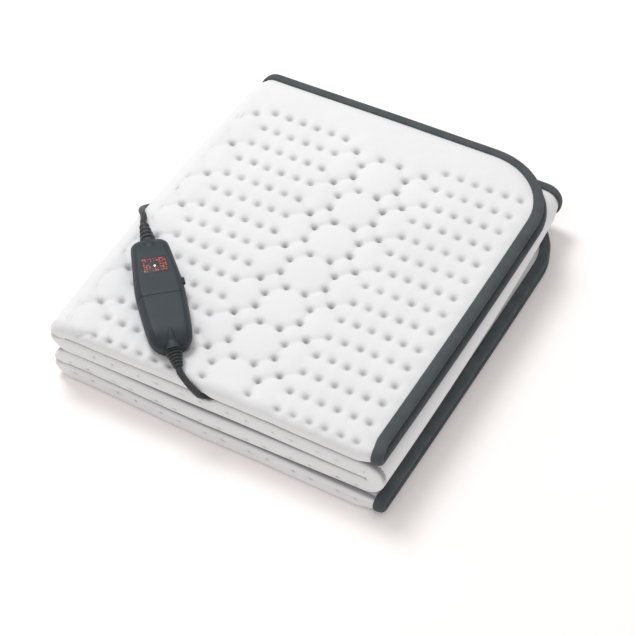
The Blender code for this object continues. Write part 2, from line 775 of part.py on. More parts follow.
def relief_start_and_heading(which):
    """Root point and direction of each strain relief."""
    if which == "lead":
        x, y = spin_about_z(-cos(LEAD_RELIEF_DIP), 0.0, CONTROL_TURN)
        root = HOUSING[0][0] - GAP - LEAD_RELIEF[1] * sin(LEAD_RELIEF_DIP)
        return control_place(root, LEAD_RELIEF_Z), (x, y, -sin(LEAD_RELIEF_DIP))
    if which == "mains":
        x, y = spin_about_z(cos(MAINS_RELIEF_DIP), 0.0, CONTROL_TURN + MAINS_RELIEF_YAW)
        lean = hypot(sin(MAINS_RELIEF_DIP), sin(MAINS_RELIEF_YAW))
        root = HOUSING[-1][0] + GAP + MAINS_RELIEF[1] * lean
        return control_place(root, MAINS_RELIEF_Z), (x, y, -sin(MAINS_RELIEF_DIP))
    if which == "socket":
        x = SOCKET_AT[0] - SOCKET_SIZE[0] / 2 - GAP
        return (x, SOCKET_AT[1], SOCKET_AT[2]), (-1.0, 0.0, 0.0)
    x, y = spin_about_z(PLUG_OUTLINE[0][0] - GAP, 0.0, PLUG_TURN)
    back = spin_about_z(-1.0, 0.0, PLUG_TURN)
    return (PLUG_AT[0] + x, PLUG_AT[1] + y, PLUG_HEIGHT / 2), (*back, 0.0)


def relief_tip(which, length):
    start, heading = relief_start_and_heading(which)
    return Vector(start) + Vector(heading).normalized() * (length + GAP)


# --- cords -------------------------------------------------------------------------------------
def smooth_line(points, spacing):
    """Even steps along a Catmull-Rom curve through the points."""
    knots = [Vector(p) for p in points]
    knots = [2 * knots[0] - knots[1]] + knots + [2 * knots[-1] - knots[-2]]
    fine = []
    for a, b, c, d in zip(knots, knots[1:], knots[2:], knots[3:]):
        for i in range(20):
            t = i / 20
            fine.append(
                0.5 * (2 * b + (c - a) * t + (2 * a - 5 * b + 4 * c - d) * t * t
                       + (3 * b - a - 3 * c + d) * t ** 3)
            )
    fine.append(knots[-2])
    total = sum((b - a).length for a, b in zip(fine, fine[1:]))
    count = max(2, round(total / spacing))
    line, walked, target = [fine[0]], 0.0, total / count
    for a, b in zip(fine, fine[1:]):
        step = (b - a).length
        while walked + step >= target - 1e-9 and len(line) < count:
            line.append(a + (b - a) * ((target - walked) / step))
            target += total / count
        walked += step
    return line + [fine[-1]] if len(line) == count else line


def tube(name, points, look, parent):
    curve = bpy.data.curves.new(name, "CURVE")
    curve.dimensions = "3D"
    curve.bevel_depth = CORD / 2
    curve.bevel_resolution = 2
    curve.use_fill_caps = True
    spline = curve.splines.new("POLY")
    spline.points.add(len(points) - 1)
    for knot, place in zip(spline.points, points):
        knot.co = (*place, 1.0)
    return add_object(name, curve, look, parent)


def cord_line(first, middle, last, spacing):
    """A cord's points; at a strain relief it leaves straight along the relief's axis."""
    line = list(middle)
    start, end = [], []
    if first:
        tip, heading = relief_tip(*first), Vector(relief_start_and_heading(first[0])[1])
        start = [tip]
        line.insert(0, tip + heading * 0.004)
    if last:
        tip, heading = relief_tip(*last), Vector(relief_start_and_heading(last[0])[1])
        end = [tip]
        line.append(tip + heading * 0.004)
    return start + smooth_line(line, spacing) + end


MAINS_LINE = cord_line(("mains", MAINS_RELIEF[0]), MAINS_ROUTE, None, 0.0098)
SLIT_FIRST = next(i for i, p in enumerate(MAINS_LINE) if abs(p[2] - SLIT_1_Z) < 0.0012)
SLIT_LINE = [MAINS_LINE[SLIT_FIRST - 1]]
SLIT_LINE += [p for p in MAINS_LINE if abs(p[2] - SLIT_1_Z) < 0.0012]


def build_cords(look, parent):
    lead = cord_line(("lead", LEAD_RELIEF[0]), LEAD_ROUTE, ("socket", SOCKET_RELIEF[0]), 0.0125)
    tail = cord_line(None, TAIL_ROUTE, ("plug", PLUG_RELIEF[0]), 0.0110)
    tube("blanket_lead", lead, look, parent)
    tube("mains_lead", MAINS_LINE, look, parent)
    tube("mains_tail", tail, look, parent)


def build_hank(look, tie_look, parent):
    """The put-away length: a long loop of two by two turns, with round ends, and its tie."""
    thick = HANK_WRAPS * CORD
    middle_radius = HANK_LOOP + CORD / 2 - thick / 2
    middle_y = HANK_NEAR_Y + HANK_LOOP
    chamfer = 0.22 * thick
    half = thick / 2
    section = (
        (half, -half + chamfer), (half, half - chamfer), (half - chamfer, half), (-half + chamfer, half),
        (-half, half - chamfer), (-half, -half + chamfer), (-half + chamfer, -half), (half - chamfer, -half),
    )
    points = []
    rings = 0
    steps = 10
    for end_x, start in ((HANK_RIGHT_X, -90), (HANK_RIGHT_X - HANK_RUN, 90)):
        for k in range(steps + 1):
            turn = radians(start + 180 * k / steps)
            for away, height in section:
                radius = middle_radius + away
                x = end_x + radius * cos(turn)
                y = middle_y + radius * sin(turn)
                points.append((x, y, HANK_LIFT + half + height))
            rings += 1
    hank = mesh_object("mains_hank", points, ring_faces(rings, len(section), closed=True), look, parent, 50)
    fix_normals(hank.data)
    build_tie(middle_y, thick, tie_look, parent)
    return hank


def build_tie(middle_y, thick, look, parent):
    inner_half = HANK_LOOP + CORD / 2 + GAP
    x = HANK_RIGHT_X - HANK_RUN / 2
    low, high = HANK_LIFT - GAP, HANK_LIFT + thick + GAP
    round_off = 0.0024
    rings = []
    for side in (-1, 1):
        ring = []
        for away in (0.0, TIE_THICK):
            half = inner_half + away
            band = []
            for corner_y, corner_z, start in (
                (half, high + away, 0), (-half, high + away, 90), (-half, low - away, 180), (half, low - away, 270),
            ):
                radius = round_off * 0.6 + away
                centre_y = middle_y + corner_y - (radius if corner_y > 0 else -radius)
                centre_z = corner_z - (radius if corner_z > (low + high) / 2 else -radius)
                for k in range(3):
                    turn = radians(start + 45 * k)
                    band.append((x + side * TIE_WIDTH / 2, centre_y + radius * cos(turn),
                                 centre_z + radius * sin(turn)))
            ring.append(band)
        rings.append(ring)
    (near_in, near_out), (far_in, far_out) = rings
    count = len(near_in)
    points = near_in + near_out + far_out + far_in
    tie = mesh_object("hank_tie", points, ring_faces(4, count, closed=True), look, parent, 40)
    fix_normals(tie.data)
    return tie


def build_plug(body_look, pin_look, parent):
    hub = bpy.data.objects.new("plug", None)
    bpy.context.collection.objects.link(hub)
    hub.parent = parent
    hub.location = (*PLUG_AT, PLUG_HEIGHT / 2)
    hub.rotation_euler = (0.0, 0.0, PLUG_TURN)
    rings = []
    for u, width in PLUG_OUTLINE:
        half = PLUG_HEIGHT / 2
        soft = 0.0035
        rings.append([
            (u, -width, -half + soft), (u, -width + soft * 0.9, -half), (u, width - soft * 0.9, -half),
            (u, width, -half + soft), (u, width, half - soft), (u, width - soft * 0.9, half),
            (u, -width + soft * 0.9, half), (u, -width, half - soft),
        ])
    loft("plug_body", rings, body_look, hub)
    face = PLUG_OUTLINE[-1][0] + GAP
    for name, side in (("plug_pin_left", -1), ("plug_pin_right", 1)):
        profile = (
            (0.0, PIN_RADIUS), (PIN_LENGTH - 0.0015, PIN_RADIUS), (PIN_LENGTH, PIN_RADIUS * 0.45),
        )
        at = (face, side * PIN_SPACING / 2, 0.0)
        turned(name, profile, pin_look, hub, at, (1.0, 0.0, 0.0), 10)


def build_reliefs(look, parent):
    for name, which, sizes in (
        ("lead_relief", "lead", LEAD_RELIEF),
        ("mains_relief", "mains", MAINS_RELIEF),
        ("socket_relief", "socket", SOCKET_RELIEF),
        ("plug_relief", "plug", PLUG_RELIEF),
    ):
        start, heading = relief_start_and_heading(which)
        turned(name, relief_profile(*sizes), look, parent, start, heading)
    box_object("lead_socket", SOCKET_SIZE, SOCKET_AT, look, parent, 0.0020)


def centre_on_origin(part):
    """The blanket and its controller stand over the origin; the cord's pieces don't count."""
    bpy.context.view_layer.update()
    places = []
    for item in bpy.data.objects:
        if item.type == "MESH" and not item.hide_render and item.name not in CORD_PIECES:
            places += [item.matrix_world @ point.co for point in item.data.vertices]
    for axis in (0, 1):
        low = min(place[axis] for place in places)
        high = max(place[axis] for place in places)
        part.location[axis] = -(low + high) / 2


def main():
    clear_scene()
    part = bpy.data.objects.new("heated_blanket", None)
    bpy.context.collection.objects.link(part)
    white = material("quilted_cloth", (0.86, 0.86, 0.85), 0.95)
    tape = material("binding_tape", (0.045, 0.045, 0.047), 0.85)
    plastic = material("controller_plastic", (0.16, 0.17, 0.175), 0.5)
    glass = material("display_glass", (0.12, 0.02, 0.02), 0.2)
    key_look = material("key_plastic", (0.03, 0.03, 0.03), 0.5)
    rubber = material("cord_rubber", (0.05, 0.05, 0.052), 0.6)
    metal = material("pin_metal", (0.75, 0.74, 0.70), 0.3, 1.0)
    build_cloth(white, part)
    build_binding(tape, part)
    build_controller(plastic, glass, key_look, part)
    build_reliefs(rubber, part)
    build_cords(rubber, part)
    build_hank(rubber, key_look, part)
    build_plug(rubber, metal, part)
    centre_on_origin(part)
    bpy.context.view_layer.update()


main()
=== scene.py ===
"""Looks of the folded heated under-blanket: quilted cloth, bound edge, hand controller and cords.

The cloth is laid out flat as (along, across) and folded by the same two maps as the solids.
"""
import bpy
import bmesh
import numpy as np
from itertools import accumulate
from math import cos, hypot, pi, radians, sin
from random import random, seed, uniform
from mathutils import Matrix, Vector, noise
from mathutils.geometry import delaunay_2d_cdt


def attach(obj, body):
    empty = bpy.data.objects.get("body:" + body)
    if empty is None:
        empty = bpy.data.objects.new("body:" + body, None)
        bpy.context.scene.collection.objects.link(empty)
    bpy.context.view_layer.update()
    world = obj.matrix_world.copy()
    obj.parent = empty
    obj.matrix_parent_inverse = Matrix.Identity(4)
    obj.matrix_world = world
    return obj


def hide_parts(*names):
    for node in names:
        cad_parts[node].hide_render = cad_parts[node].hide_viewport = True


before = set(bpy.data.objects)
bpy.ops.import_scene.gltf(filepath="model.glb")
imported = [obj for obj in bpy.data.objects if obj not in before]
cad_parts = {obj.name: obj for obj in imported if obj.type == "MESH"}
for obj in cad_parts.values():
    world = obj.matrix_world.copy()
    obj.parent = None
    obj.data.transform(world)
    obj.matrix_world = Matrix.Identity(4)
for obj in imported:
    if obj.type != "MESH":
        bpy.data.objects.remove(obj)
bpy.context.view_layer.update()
CLOTH_BODY = "blanket"
KEY_BODY = "key"


def tenths(*rows):
    """Rows of tenths of a millimetre, in metres."""
    return tuple(tuple(value / 10000 for value in row) for row in rows)


# --- sizes shared with the solids ---
SHIFT = Vector((0.0056551, 0.002888, 0.0))
CLOTH_THICK = 0.0079
SLIT = 0.0005
FRONT_Y = -0.1894
BACK_Y = 0.1902
END_1_X = 0.1527
LEFT_TURN_X = -0.168
RIGHT_TURN_X = 0.1538
LOW_TURN_X = -0.167
END_4_X = 0.1583
CORNER = 0.0725
ARC_STEPS = 16
CORNER_STEPS = 18
CORNER_CLEAR = 0.002
COARSE = 0.01
EDGE_HALF = 0.0018
EDGE_EASE = 0.0005
EDGE_BAND = 0.0095
EDGE_SLOPE = 0.023
BINDING_WIDTH = 0.0087
GAP = 0.0003
PITCH = 0.0148
ROW = 1.55 * PITCH
PATTERN_X = 3.5 * PITCH
PATTERN_Y = 9.3 * PITCH
ROWS = 15
BLOCK_COLUMNS = 6
PATTERN_REPEAT = 12
BUBBLE_COLUMN = -3.5
BUBBLE_ROW = 1.46
CORD = 0.0058
GROOVE_DEPTH = 0.0036
GROOVE_HALF = 0.0085

CONTROL_AT = (-0.0945, -0.1246)
CONTROL_TURN = radians(-49.7)
CONTROL_SPLIT_Z = 0.01
CONTROL_STEP_U = 0.0083
STEP_DEPTH = 0.0007
CONTROL_LIFT = 0.0012
# the housing: place along it, half width, height
HOUSING = tenths(
    (-652, 85, 125), (-637, 125, 140), (-603, 158, 160), (-555, 170, 180), (-440, 182, 190),
    (-235, 202, 193), (-80, 214, 194), (60, 214, 194), (265, 206, 194), (430, 196, 192),
    (522, 184, 178), (583, 158, 152), (620, 118, 125), (635, 85, 108),
)
WINDOW_U = -0.0275
KEY_U = -0.0085
LEAD_RELIEF_Z = 0.0092
MAINS_RELIEF_Z = 0.0082
LEAD_RELIEF_DIP = radians(6)
MAINS_RELIEF_DIP = radians(20)
MAINS_RELIEF_YAW = radians(5)
# strain reliefs: length, radius at the root and at the tip, ribs
LEAD_RELIEF = (0.024, 0.0068, 0.0038, 3)
MAINS_RELIEF = (0.0158, 0.0076, 0.0036, 5)
SOCKET_RELIEF = (0.02, 0.0055, 0.0037, 3)
PLUG_RELIEF = (0.02, 0.005, 0.0036, 3)
SOCKET_AT = (-0.109, 0.1989, 0.0334)
SOCKET_SIZE = (0.03, 0.013, 0.015)
PLUG_AT = (0.056, 0.2222)
PLUG_TURN = radians(-14)
PLUG_HEIGHT = 0.0138
PLUG_BACK = -0.018
HANK_RIGHT_X = -0.045
HANK_RUN = 0.105
HANK_NEAR_Y = 0.1957
HANK_LOOP = 0.0214
HANK_Z = 0.004
HANK_JOIN = ((-0.036, 0.1957, 0.0041), (-0.036, 0.2385, 0.0098))
CORD_STUB = 0.004
SLIT_NEAR = 0.0012

LEAD_ROUTE = tenths(
    (-1585, -462, 730), (-1642, -395, 700), (-1705, -315, 640), (-1754, -210, 552),
    (-1761, -70, 456), (-1724, 105, 380), (-1682, 250, 342), (-1662, 420, 334), (-1660, 650, 334),
    (-1656, 900, 334), (-1652, 1150, 334), (-1660, 1380, 330), (-1688, 1580, 318),
    (-1712, 1750, 306), (-1690, 1900, 300), (-1610, 2005, 303), (-1490, 2048, 315),
)
MAINS_ROUTE = tenths(
    (-338, -1900, 662), (-285, -1916, 627), (-240, -1920, 594), (-206, -1916, 560),
    (-178, -1904, 525), (-146, -1857, 505), (-98, -1785, 502), (-42, -1680, 502), (25, -1545, 502),
    (112, -1298, 502), (226, -1000, 502), (360, -650, 502), (500, -250, 502), (620, 200, 502),
    (690, 650, 502), (710, 1100, 502), (640, 1450, 502), (580, 1720, 502), (565, 1938, 500),
    (510, 2033, 480), (410, 2078, 440), (290, 2098, 385), (170, 2093, 315), (50, 2068, 230),
    (-70, 2028, 145), (-180, 1985, 75), (-272, 1959, 47),
)
TAIL_ROUTE = tenths(
    (-287, 2384, 96), (-200, 2383, 94), (-100, 2375, 87), (10, 2350, 78), (120, 2307, 72),
)

HALF = CLOTH_THICK / 2
DOUBLE = 2 * CLOTH_THICK + SLIT
LEVEL = DOUBLE + SLIT
STACK = 4 * DOUBLE + 3 * SLIT
HAIRPIN = SLIT / 2 + HALF
TURN = SLIT / 2 + DOUBLE / 2
TURN_OUT = SLIT / 2 + DOUBLE
FOLD_Y = FRONT_Y + HAIRPIN + HALF
ROLL = pi / 2 * HAIRPIN
REACH = BACK_Y - FOLD_Y + ROLL
TURN_X = (LEFT_TURN_X + TURN_OUT, RIGHT_TURN_X - TURN_OUT, LOW_TURN_X + TURN_OUT)
RUNS = (
    END_1_X - TURN_X[0],
    TURN_X[1] - TURN_X[0],
    TURN_X[1] - TURN_X[2],
    END_4_X - TURN_X[2],
)
TURN_ARC = pi * TURN
STARTS = tuple(sum(RUNS[:i]) + i * TURN_ARC for i in range(4))
LENGTH = STARTS[3] + RUNS[3]
SLIT_1_Z = STACK - DOUBLE - SLIT / 2
# place along; pushes in y at the front, in x at the front, middle and back, in y at the back
UNEVEN = (
    (0.0, -0.002, -0.0025, 0.0005, -0.0004, 0.0),
    (RUNS[0] / 2, 0.001, 0.0, 0.0, 0.0, 0.0),
    (RUNS[0] + TURN_ARC / 2, 0.0015, -0.0023, -0.0044, 0.0028, -0.0014),
    (STARTS[1] + RUNS[1] / 2, 0.0, 0.0, 0.0, 0.0, 0.0),
    (STARTS[2] - TURN_ARC / 2, -0.003, 0.0005, 0.0014, -0.005, -0.003),
    (STARTS[2] + RUNS[2] / 2, -0.0028, 0.0, 0.0, 0.0, 0.0),
    (STARTS[3] - TURN_ARC / 2, 0.0022, -0.003, 0.0, 0.003, 0.0),
    (STARTS[3] + RUNS[3] / 2, -0.0045, 0.0, 0.0, 0.0, 0.0),
    (LENGTH, -0.008, -0.002, 0.001, 0.0015, 0.0),
)
FRONT_FADE = 0.09
BACK_FROM = 0.6
END_STEP = 0.0032
STEP_FADE = 0.018

# --- looks only ---
FINE = 0.0025  # spacing of the points on the top face, away from the dots
FRONT_FINE = 0.002  # and on the other front folds
CLOSE = 0.0009  # points nearer to each other than this are left out
BAND_CLEAR = 0.0006  # no free points nearer than this to the edge's band
SLOPE_CLEAR = 0.0005  # and to the line where the cloth has its full thickness
FAR = 0.05  # further than any place is from a dot
LOW = 0.0007  # the quilting's rest level below the plain cloth
PUFF = (0.0019, 0.0105, 1.6)  # how far the filling swells, how far from a dot, how suddenly
PIT = (0.003, 0.0033)  # depth and radius of a quilting dot's pit
PIT_SHADE = (0.72, 0.9)  # painted shade in and round the pit: how dark, and how wide beside the pit
CREASE = (0.0009, 0.0027)  # the same for a crease between two dots; the next line is its painted shade
CREASE_SHADE = (0.08, 0.7)
STRIP_PIT = (0.0011, 0.0014)  # and for a small dot on the lower front folds; the next line is its painted shade
STRIP_SHADE = (0.7, 0.8)
WEAK_DOT = 0.004  # a weak dot holds the filling as if so much further away
WEAK_CREASE = (0.0035, 0.002)  # and a crease: the weakest one, and what its weight takes off
UNDULATIONS = ((0.00022, 110, 0.3), (0.0003, 28, 4.1))  # height, waves a metre, level
NOSE_CREASE = (0.003, 0.0012)  # the crease across the left turns' front
# painted shade along that crease: how dark, and its width beside the crease's
NOSE_SHADE = (0.5, 0.9)
NOSE_HALF = 0.0035
NOSE_FADE = 0.4  # the quilting has gone this far into the first left turn
RIM_FADE = (0.0005, 0.0035)  # it starts this far inside the edge's band, and is full so much on
FOLD_FADE = (-0.158, 0.02)  # and the same in x, from the left fold
BARE_CORNER = (-0.133, -0.183)  # no dots nearer to the front left corner
BULGE = 4.6  # how flat the front folds' faces are; 2 is a half circle
END_FADE = 0.012
# painted shade in the creases between the double layers, and below it painted shadow where the
# lowest one meets the floor: how dark, from which turn of the fold, over how much of it
BETWEEN_SHADE = (0.9, 0.84, 0.22)
UNDER_SHADE = (0.8, 0.72, 0.2)
OPEN_FADE = 0.006
DOT_RINGS = ((0.0, 1), (0.001, 6), (0.002, 9), (0.0031, 12), (0.0046, 14))
RING_TWIST = 300  # turns each ring against the next
CREASE_STEP = 0.0016
CREASE_ROWS = (0.0, -0.0012, 0.0012, -0.0026, 0.0026)
STRAY = 0.0005  # a dot's place differs from the even grid by up to this
WEAKEST = 0.02
# dots of the band, as (column, row) from the middle of a big bubble; they repeat every two rows
BAND_DOTS = (
    (-0.62, -1.0), (0.65, -1.0), (-1.5, -0.38), (1.5, -0.38), (-1.5, 0.38), (1.5, 0.38),
    (-2.35, -1.0), (2.4, -0.95),
)
# lines of creases from dot to dot, in the same steps
BAND_CREASES = (
    ((-0.62, -1.0), (0.65, -1.0), (1.5, -0.38), (1.5, 0.38), (0.65, 1.0)),
    ((-0.62, 1.0), (-1.5, 0.38), (-1.5, -0.38), (-0.62, -1.0)),
    ((1.5, -0.38), (2.4, -0.95), (3.5, -0.46)),
    ((1.5, 0.38), (2.4, 1.05), (3.5, 0.54)),
    ((-1.5, -0.38), (-2.35, -1.0), (-3.5, -0.46)),
    ((-1.5, 0.38), (-2.35, 1.0), (-3.5, 0.54)),
)
BAND_SHIFT = 0.15  # the left band sits this many rows further back
# dots on the other front folds, a double layer each: first place in x, height from -1 to 1
FRONT_DOTS = {1: (-0.1233, 0.1), 2: (-0.1484, -0.42), 3: (-0.144, 0.25)}
FRONT_COUNT = 7
FRONT_PERIOD = 0.0434
FRONT_PAIR = 0.0177
FRONT_LEVEL = 0.0075
# the binding's upper half: out from the edge, height beside the cloth's own
TAPE_SHAPE = tenths(
    (-86, -9), (-82, -4), (-75, -1), (-62, 1), (-45, 0), (-28, -2), (-14, -5), (-2, -10), (6, -17),
    (11, -26), (14, -34),
)
# the housing's sides: in from the full width, and up as a part of the height or in metres
UPPER_SHAPE = (
    (0.0, 0.0), (0.0002, 0.18), (0.0007, 0.36), (0.0015, 0.56), (0.0026, 0.75),
    (0.0037, 0.89), (0.0047, 0.965), (0.0058, 0.993), (0.0072, 1.0),
)
LOWER_SHAPE = ((0.0, 0.006), (0.0004, 0.0038), (0.0012, 0.002), (0.0022, 0.0007), (0.0036, 0.0))
LOFT_STEP = 0.003
ROUND_STEP = 0.0003
SEAM_CLEAR = 0.0012
# the shells' rounded ends at the step: distance from the seam, how much smaller the ring is
COVER_SEAM = ((0.0005, 0.0002), (0.0, 0.0009))
CAP_SEAM = ((0.0, 0.0004), (0.0004, 0.0001))
# tongues over the cords' roots: reach, width at the root and at the end
BOSS = (0.0165, 0.0066, 0.0052)
RIDGE = (-0.0235, 0.0074, 0.0012)
RIDGE_PAST = 0.0048
MARK_ROWS, MARK_COLUMNS, MARK_PITCH = 7, 9, 0.0024
MARK_STRAY = 0.0004
MARK_CLEAR = 0.0042
MARK_THICK = 0.0002
MARK_GAPS = 0.18  # the part of the marks that is left out
# a rib of a strain relief: place along it, radius beside the cone's
RIB_SHAPE = (
    (0.0, 0.8), (0.3, 0.8), (0.4, 0.95), (0.5, 1.0), (0.75, 1.0), (0.88, 0.95), (0.96, 0.8),
)

# the grey that the painted shade darkens the cloth towards
PAINTED_SHADE_TINT = (0.3, 0.29, 0.3)
CLOTH_TINTS = ((0.775, 0.775, 0.785), (0.805, 0.805, 0.815))
TAPE_TINTS = ((0.062, 0.072, 0.078), (0.086, 0.098, 0.105))
# darker tint, lighter tint, roughness, depth of the grain
PLASTICS = {
    "cord_sheath": ((0.03, 0.032, 0.035), (0.046, 0.049, 0.053), 0.5, 0.25),
    "remote_plastic": ((0.022, 0.031, 0.038), (0.028, 0.039, 0.047), 0.55, 0.25),
    "key_plastic": ((0.012, 0.012, 0.013), (0.02, 0.02, 0.022), 0.55, 0.25),
    "window_glass": ((0.022, 0.026, 0.031), (0.028, 0.031, 0.037), 0.5, 0.05),
    "pin_metal": ((0.6, 0.59, 0.56), (0.72, 0.71, 0.68), 0.3, 0.05),
}
# place, size, power, colour
LIGHTS = {
    "key": ((-1.1, 0.6, 2.2), 0.9, 36.0, (0.985, 1.0, 1.0)),
    "fill": ((1.4, -1.6, 1.6), 2.0, 3.6, (0.98, 0.99, 1.0)),
}


def ease(value):
    value = min(max(value, 0.0), 1.0)
    return value * value * (3 - 2 * value)


# --- the folds ---
def uneven_push(along, across):
    """How far a place of the flat cloth is pushed in x and y, so that the folds lie unevenly."""
    low = ([row for row in UNEVEN if row[0] <= along] or UNEVEN[:1])[-1]
    high = ([row for row in UNEVEN if row[0] > along] or UNEVEN[-1:])[0]
    part = ease((along - low[0]) / max(high[0] - low[0], 1e-6))
    pushes = (a + (b - a) * part for a, b in zip(low[1:], high[1:]))
    front, side_front, side_middle, side_back, back_push = pushes
    step = END_STEP * (1 - ease(2 * along / RUNS[0])) * ease(across / STEP_FADE)
    back = min(abs(across) / REACH, 1.0)
    side = (
        side_front * (1 - back) * (1 - 2 * back)
        + side_middle * 4 * back * (1 - back)
        + side_back * back * (2 * back - 1)
    )
    fade = 1 - ease((abs(across) - 2 * ROLL) / FRONT_FADE)
    return side - step, front * fade + back_push * ease((back - BACK_FROM) / (1 - BACK_FROM))


def hairpin(across, out):
    """The front fold: y, and height over the double layer's middle; out is the way outwards."""
    if abs(across) <= ROLL:
        angle = across / HAIRPIN
        return FOLD_Y - (HAIRPIN + out) * cos(angle), (HAIRPIN + out) * sin(angle)
    side = 1 if across > 0 else -1
    return FOLD_Y + abs(across) - ROLL, side * (HAIRPIN + out)


def serpentine(along, height):
    """The back and forth folds: x and z of a place of the double layer."""
    for i in range(4):
        heading = -1 if i % 2 == 0 else 1
        level = STACK - DOUBLE / 2 - i * LEVEL
        start_x = END_1_X if i == 0 else TURN_X[i - 1]
        local = along - STARTS[i]
        if local <= RUNS[i] or i == 3:
            return start_x + heading * local, level - heading * height
        local -= RUNS[i]
        if local < TURN_ARC:
            angle = local / TURN
            radius = TURN - heading * height
            return TURN_X[i] + heading * radius * sin(angle), level - TURN + radius * cos(angle)


def cord_distance(x, y):
    best = 1.0
    for (ax, ay, _), (bx, by, _) in zip(SLIT_LINE, SLIT_LINE[1:]):
        dx, dy = bx - ax, by - ay
        part = ((x - ax) * dx + (y - ay) * dy) / (dx * dx + dy * dy)
        part = min(max(part, 0.0), 1.0)
        best = min(best, hypot(x - ax - part * dx, y - ay - part * dy))
    return best


def part_slit(x, y, z):
    """The groove that the mains cord presses between the two upper double layers."""
    offset = z - SLIT_1_Z
    if abs(offset) >= CLOTH_THICK:
        return z
    distance = cord_distance(x, y)
    if distance >= GROOVE_HALF:
        return z
    opening = GROOVE_DEPTH * cos(pi / 2 * distance / GROOVE_HALF) ** 2
    return z + (opening if offset > 0 else -opening) * (1 - abs(offset) / CLOTH_THICK)


def fold(along, across, out):
    y, height = hairpin(across, out)
    x, z = serpentine(along, height)
    push_x, push_y = uneven_push(along, across)
    x += push_x
    y += push_y
    return x, y, part_slit(x, y, z)


def edge_distance(along, across):
    dx = abs(along - LENGTH / 2) - (LENGTH / 2 - CORNER)
    dy = abs(across) - (REACH - CORNER)
    if dx > 0 and dy > 0:
        return CORNER - hypot(dx, dy)
    return CORNER - max(dx, dy)


def half_thickness(along, across):
    inside = edge_distance(along, across)
    return EDGE_HALF + (HALF - EDGE_HALF) * ease((inside - EDGE_BAND) / (EDGE_SLOPE - EDGE_BAND))


def spaced(low, high, count):
    return [low + (high - low) * i / count for i in range(count + 1)]


def stepped(low, high, step):
    return spaced(low, high, max(1, round((high - low) / step)))


def flat_place(run, x, y, side):
    """Place on the flat cloth of a point of one of the two upper double layers."""
    along, across = 0.0, 0.0
    for _ in range(6):
        push_x, push_y = uneven_push(along, across)
        if run == 0:
            along = END_1_X - (x - push_x)
        else:
            along = STARTS[1] + (x - push_x) - TURN_X[0]
        across = side * (y - push_y - FOLD_Y + ROLL)
    return along, across


def turn_stops():
    turns = [start + run for start, run in zip(STARTS, RUNS[:3])]
    return [s for turn in turns for s in spaced(turn, turn + TURN_ARC, ARC_STEPS)]


def along_stops():
    stops = turn_stops()
    for i in range(4):
        stops += stepped(STARTS[i], STARTS[i] + RUNS[i], COARSE)[1:-1]
    return sorted(stops)


def straight_stops():
    """The stops along between the rounded corners."""
    ends = CORNER + CORNER_CLEAR
    return [s for s in along_stops() if ends < s < LENGTH - ends]


def across_stops():
    return spaced(-ROLL, ROLL, ARC_STEPS)


def wide_stops():
    flat = stepped(ROLL, REACH - CORNER - 2 * CORNER_CLEAR, COARSE)[1:]
    return [-t for t in reversed(flat)] + across_stops() + flat


def corner(start, inset):
    """A rounded corner's stops from an angle on, each with the direction out of the cloth."""
    middle_s = LENGTH / 2 + (LENGTH / 2 - CORNER) * (-1 if 90 <= start <= 180 else 1)
    middle_t = (REACH - CORNER) * (1 if start < 180 else -1)
    radius = CORNER - inset
    turns = [radians(start + 90 * k / CORNER_STEPS) for k in range(CORNER_STEPS + 1)]
    return [(middle_s + radius * cos(a), middle_t + radius * sin(a), cos(a), sin(a)) for a in turns]


def groove_crossings():
    x = SLIT_LINE[-1][0]
    stops = []
    for run in (0, 1):
        middle = flat_place(run, x, BACK_Y, -1)[0]
        stops += [middle + k * GROOVE_HALF * 0.25 for k in range(-5, 6)]
    return sorted(stops)


def edge_loop(inset):
    """The edge all the way round, so far inside: stops with the direction out of the cloth."""
    straight = straight_stops()
    ends = wide_stops()
    return [
        *corner(180, inset),
        *((s, -REACH + inset, 0.0, -1.0) for s in sorted(straight + groove_crossings())),
        *corner(270, inset),
        *((LENGTH - inset, t, 1.0, 0.0) for t in ends),
        *corner(0, inset),
        *((s, REACH - inset, 0.0, 1.0) for s in reversed(straight)),
        *corner(90, inset),
        *((inset, t, -1.0, 0.0) for t in reversed(ends)),
    ]


# --- cords ---
def spin(x, y, turn):
    return x * cos(turn) - y * sin(turn), x * sin(turn) + y * cos(turn)


def control_place(u, v, z):
    """A point in the controller's own directions."""
    x, y = spin(u, v, CONTROL_TURN)
    return Vector((CONTROL_AT[0] + x, CONTROL_AT[1] + y, STACK + CONTROL_LIFT + z))


def housing_relief(side, sizes, z, dip, yaw, collar):
    end = HOUSING[0 if side < 0 else -1][0]
    root = end + side * (GAP + sizes[1] * hypot(sin(dip), sin(yaw)))
    x, y = spin(side * cos(dip), 0.0, CONTROL_TURN + yaw)
    return control_place(root, 0.0, z), Vector((x, y, -sin(dip))), sizes, collar


def plug_relief():
    x, y = spin(PLUG_BACK - GAP, 0.0, PLUG_TURN)
    start = Vector((PLUG_AT[0] + x, PLUG_AT[1] + y, PLUG_HEIGHT / 2))
    return start, Vector((*spin(-1.0, 0.0, PLUG_TURN), 0.0)), PLUG_RELIEF, 0.14


SOCKET_START = Vector((SOCKET_AT[0] - SOCKET_SIZE[0] / 2 - GAP, *SOCKET_AT[1:]))
# start, heading, sizes, length of the collar
RELIEFS = {
    "lead": housing_relief(-1, LEAD_RELIEF, LEAD_RELIEF_Z, LEAD_RELIEF_DIP, 0.0, 0.14),
    "mains": housing_relief(1, MAINS_RELIEF, MAINS_RELIEF_Z, MAINS_RELIEF_DIP, MAINS_RELIEF_YAW,
                            0.04),
    "socket": (SOCKET_START, Vector((-1.0, 0.0, 0.0)), SOCKET_RELIEF, 0.14),
    "plug": plug_relief(),
}


def relief_tip(which, past=0.0):
    start, heading, sizes, _ = RELIEFS[which]
    tip = start + heading * (sizes[0] + GAP)
    return tip + heading * past if past else tip


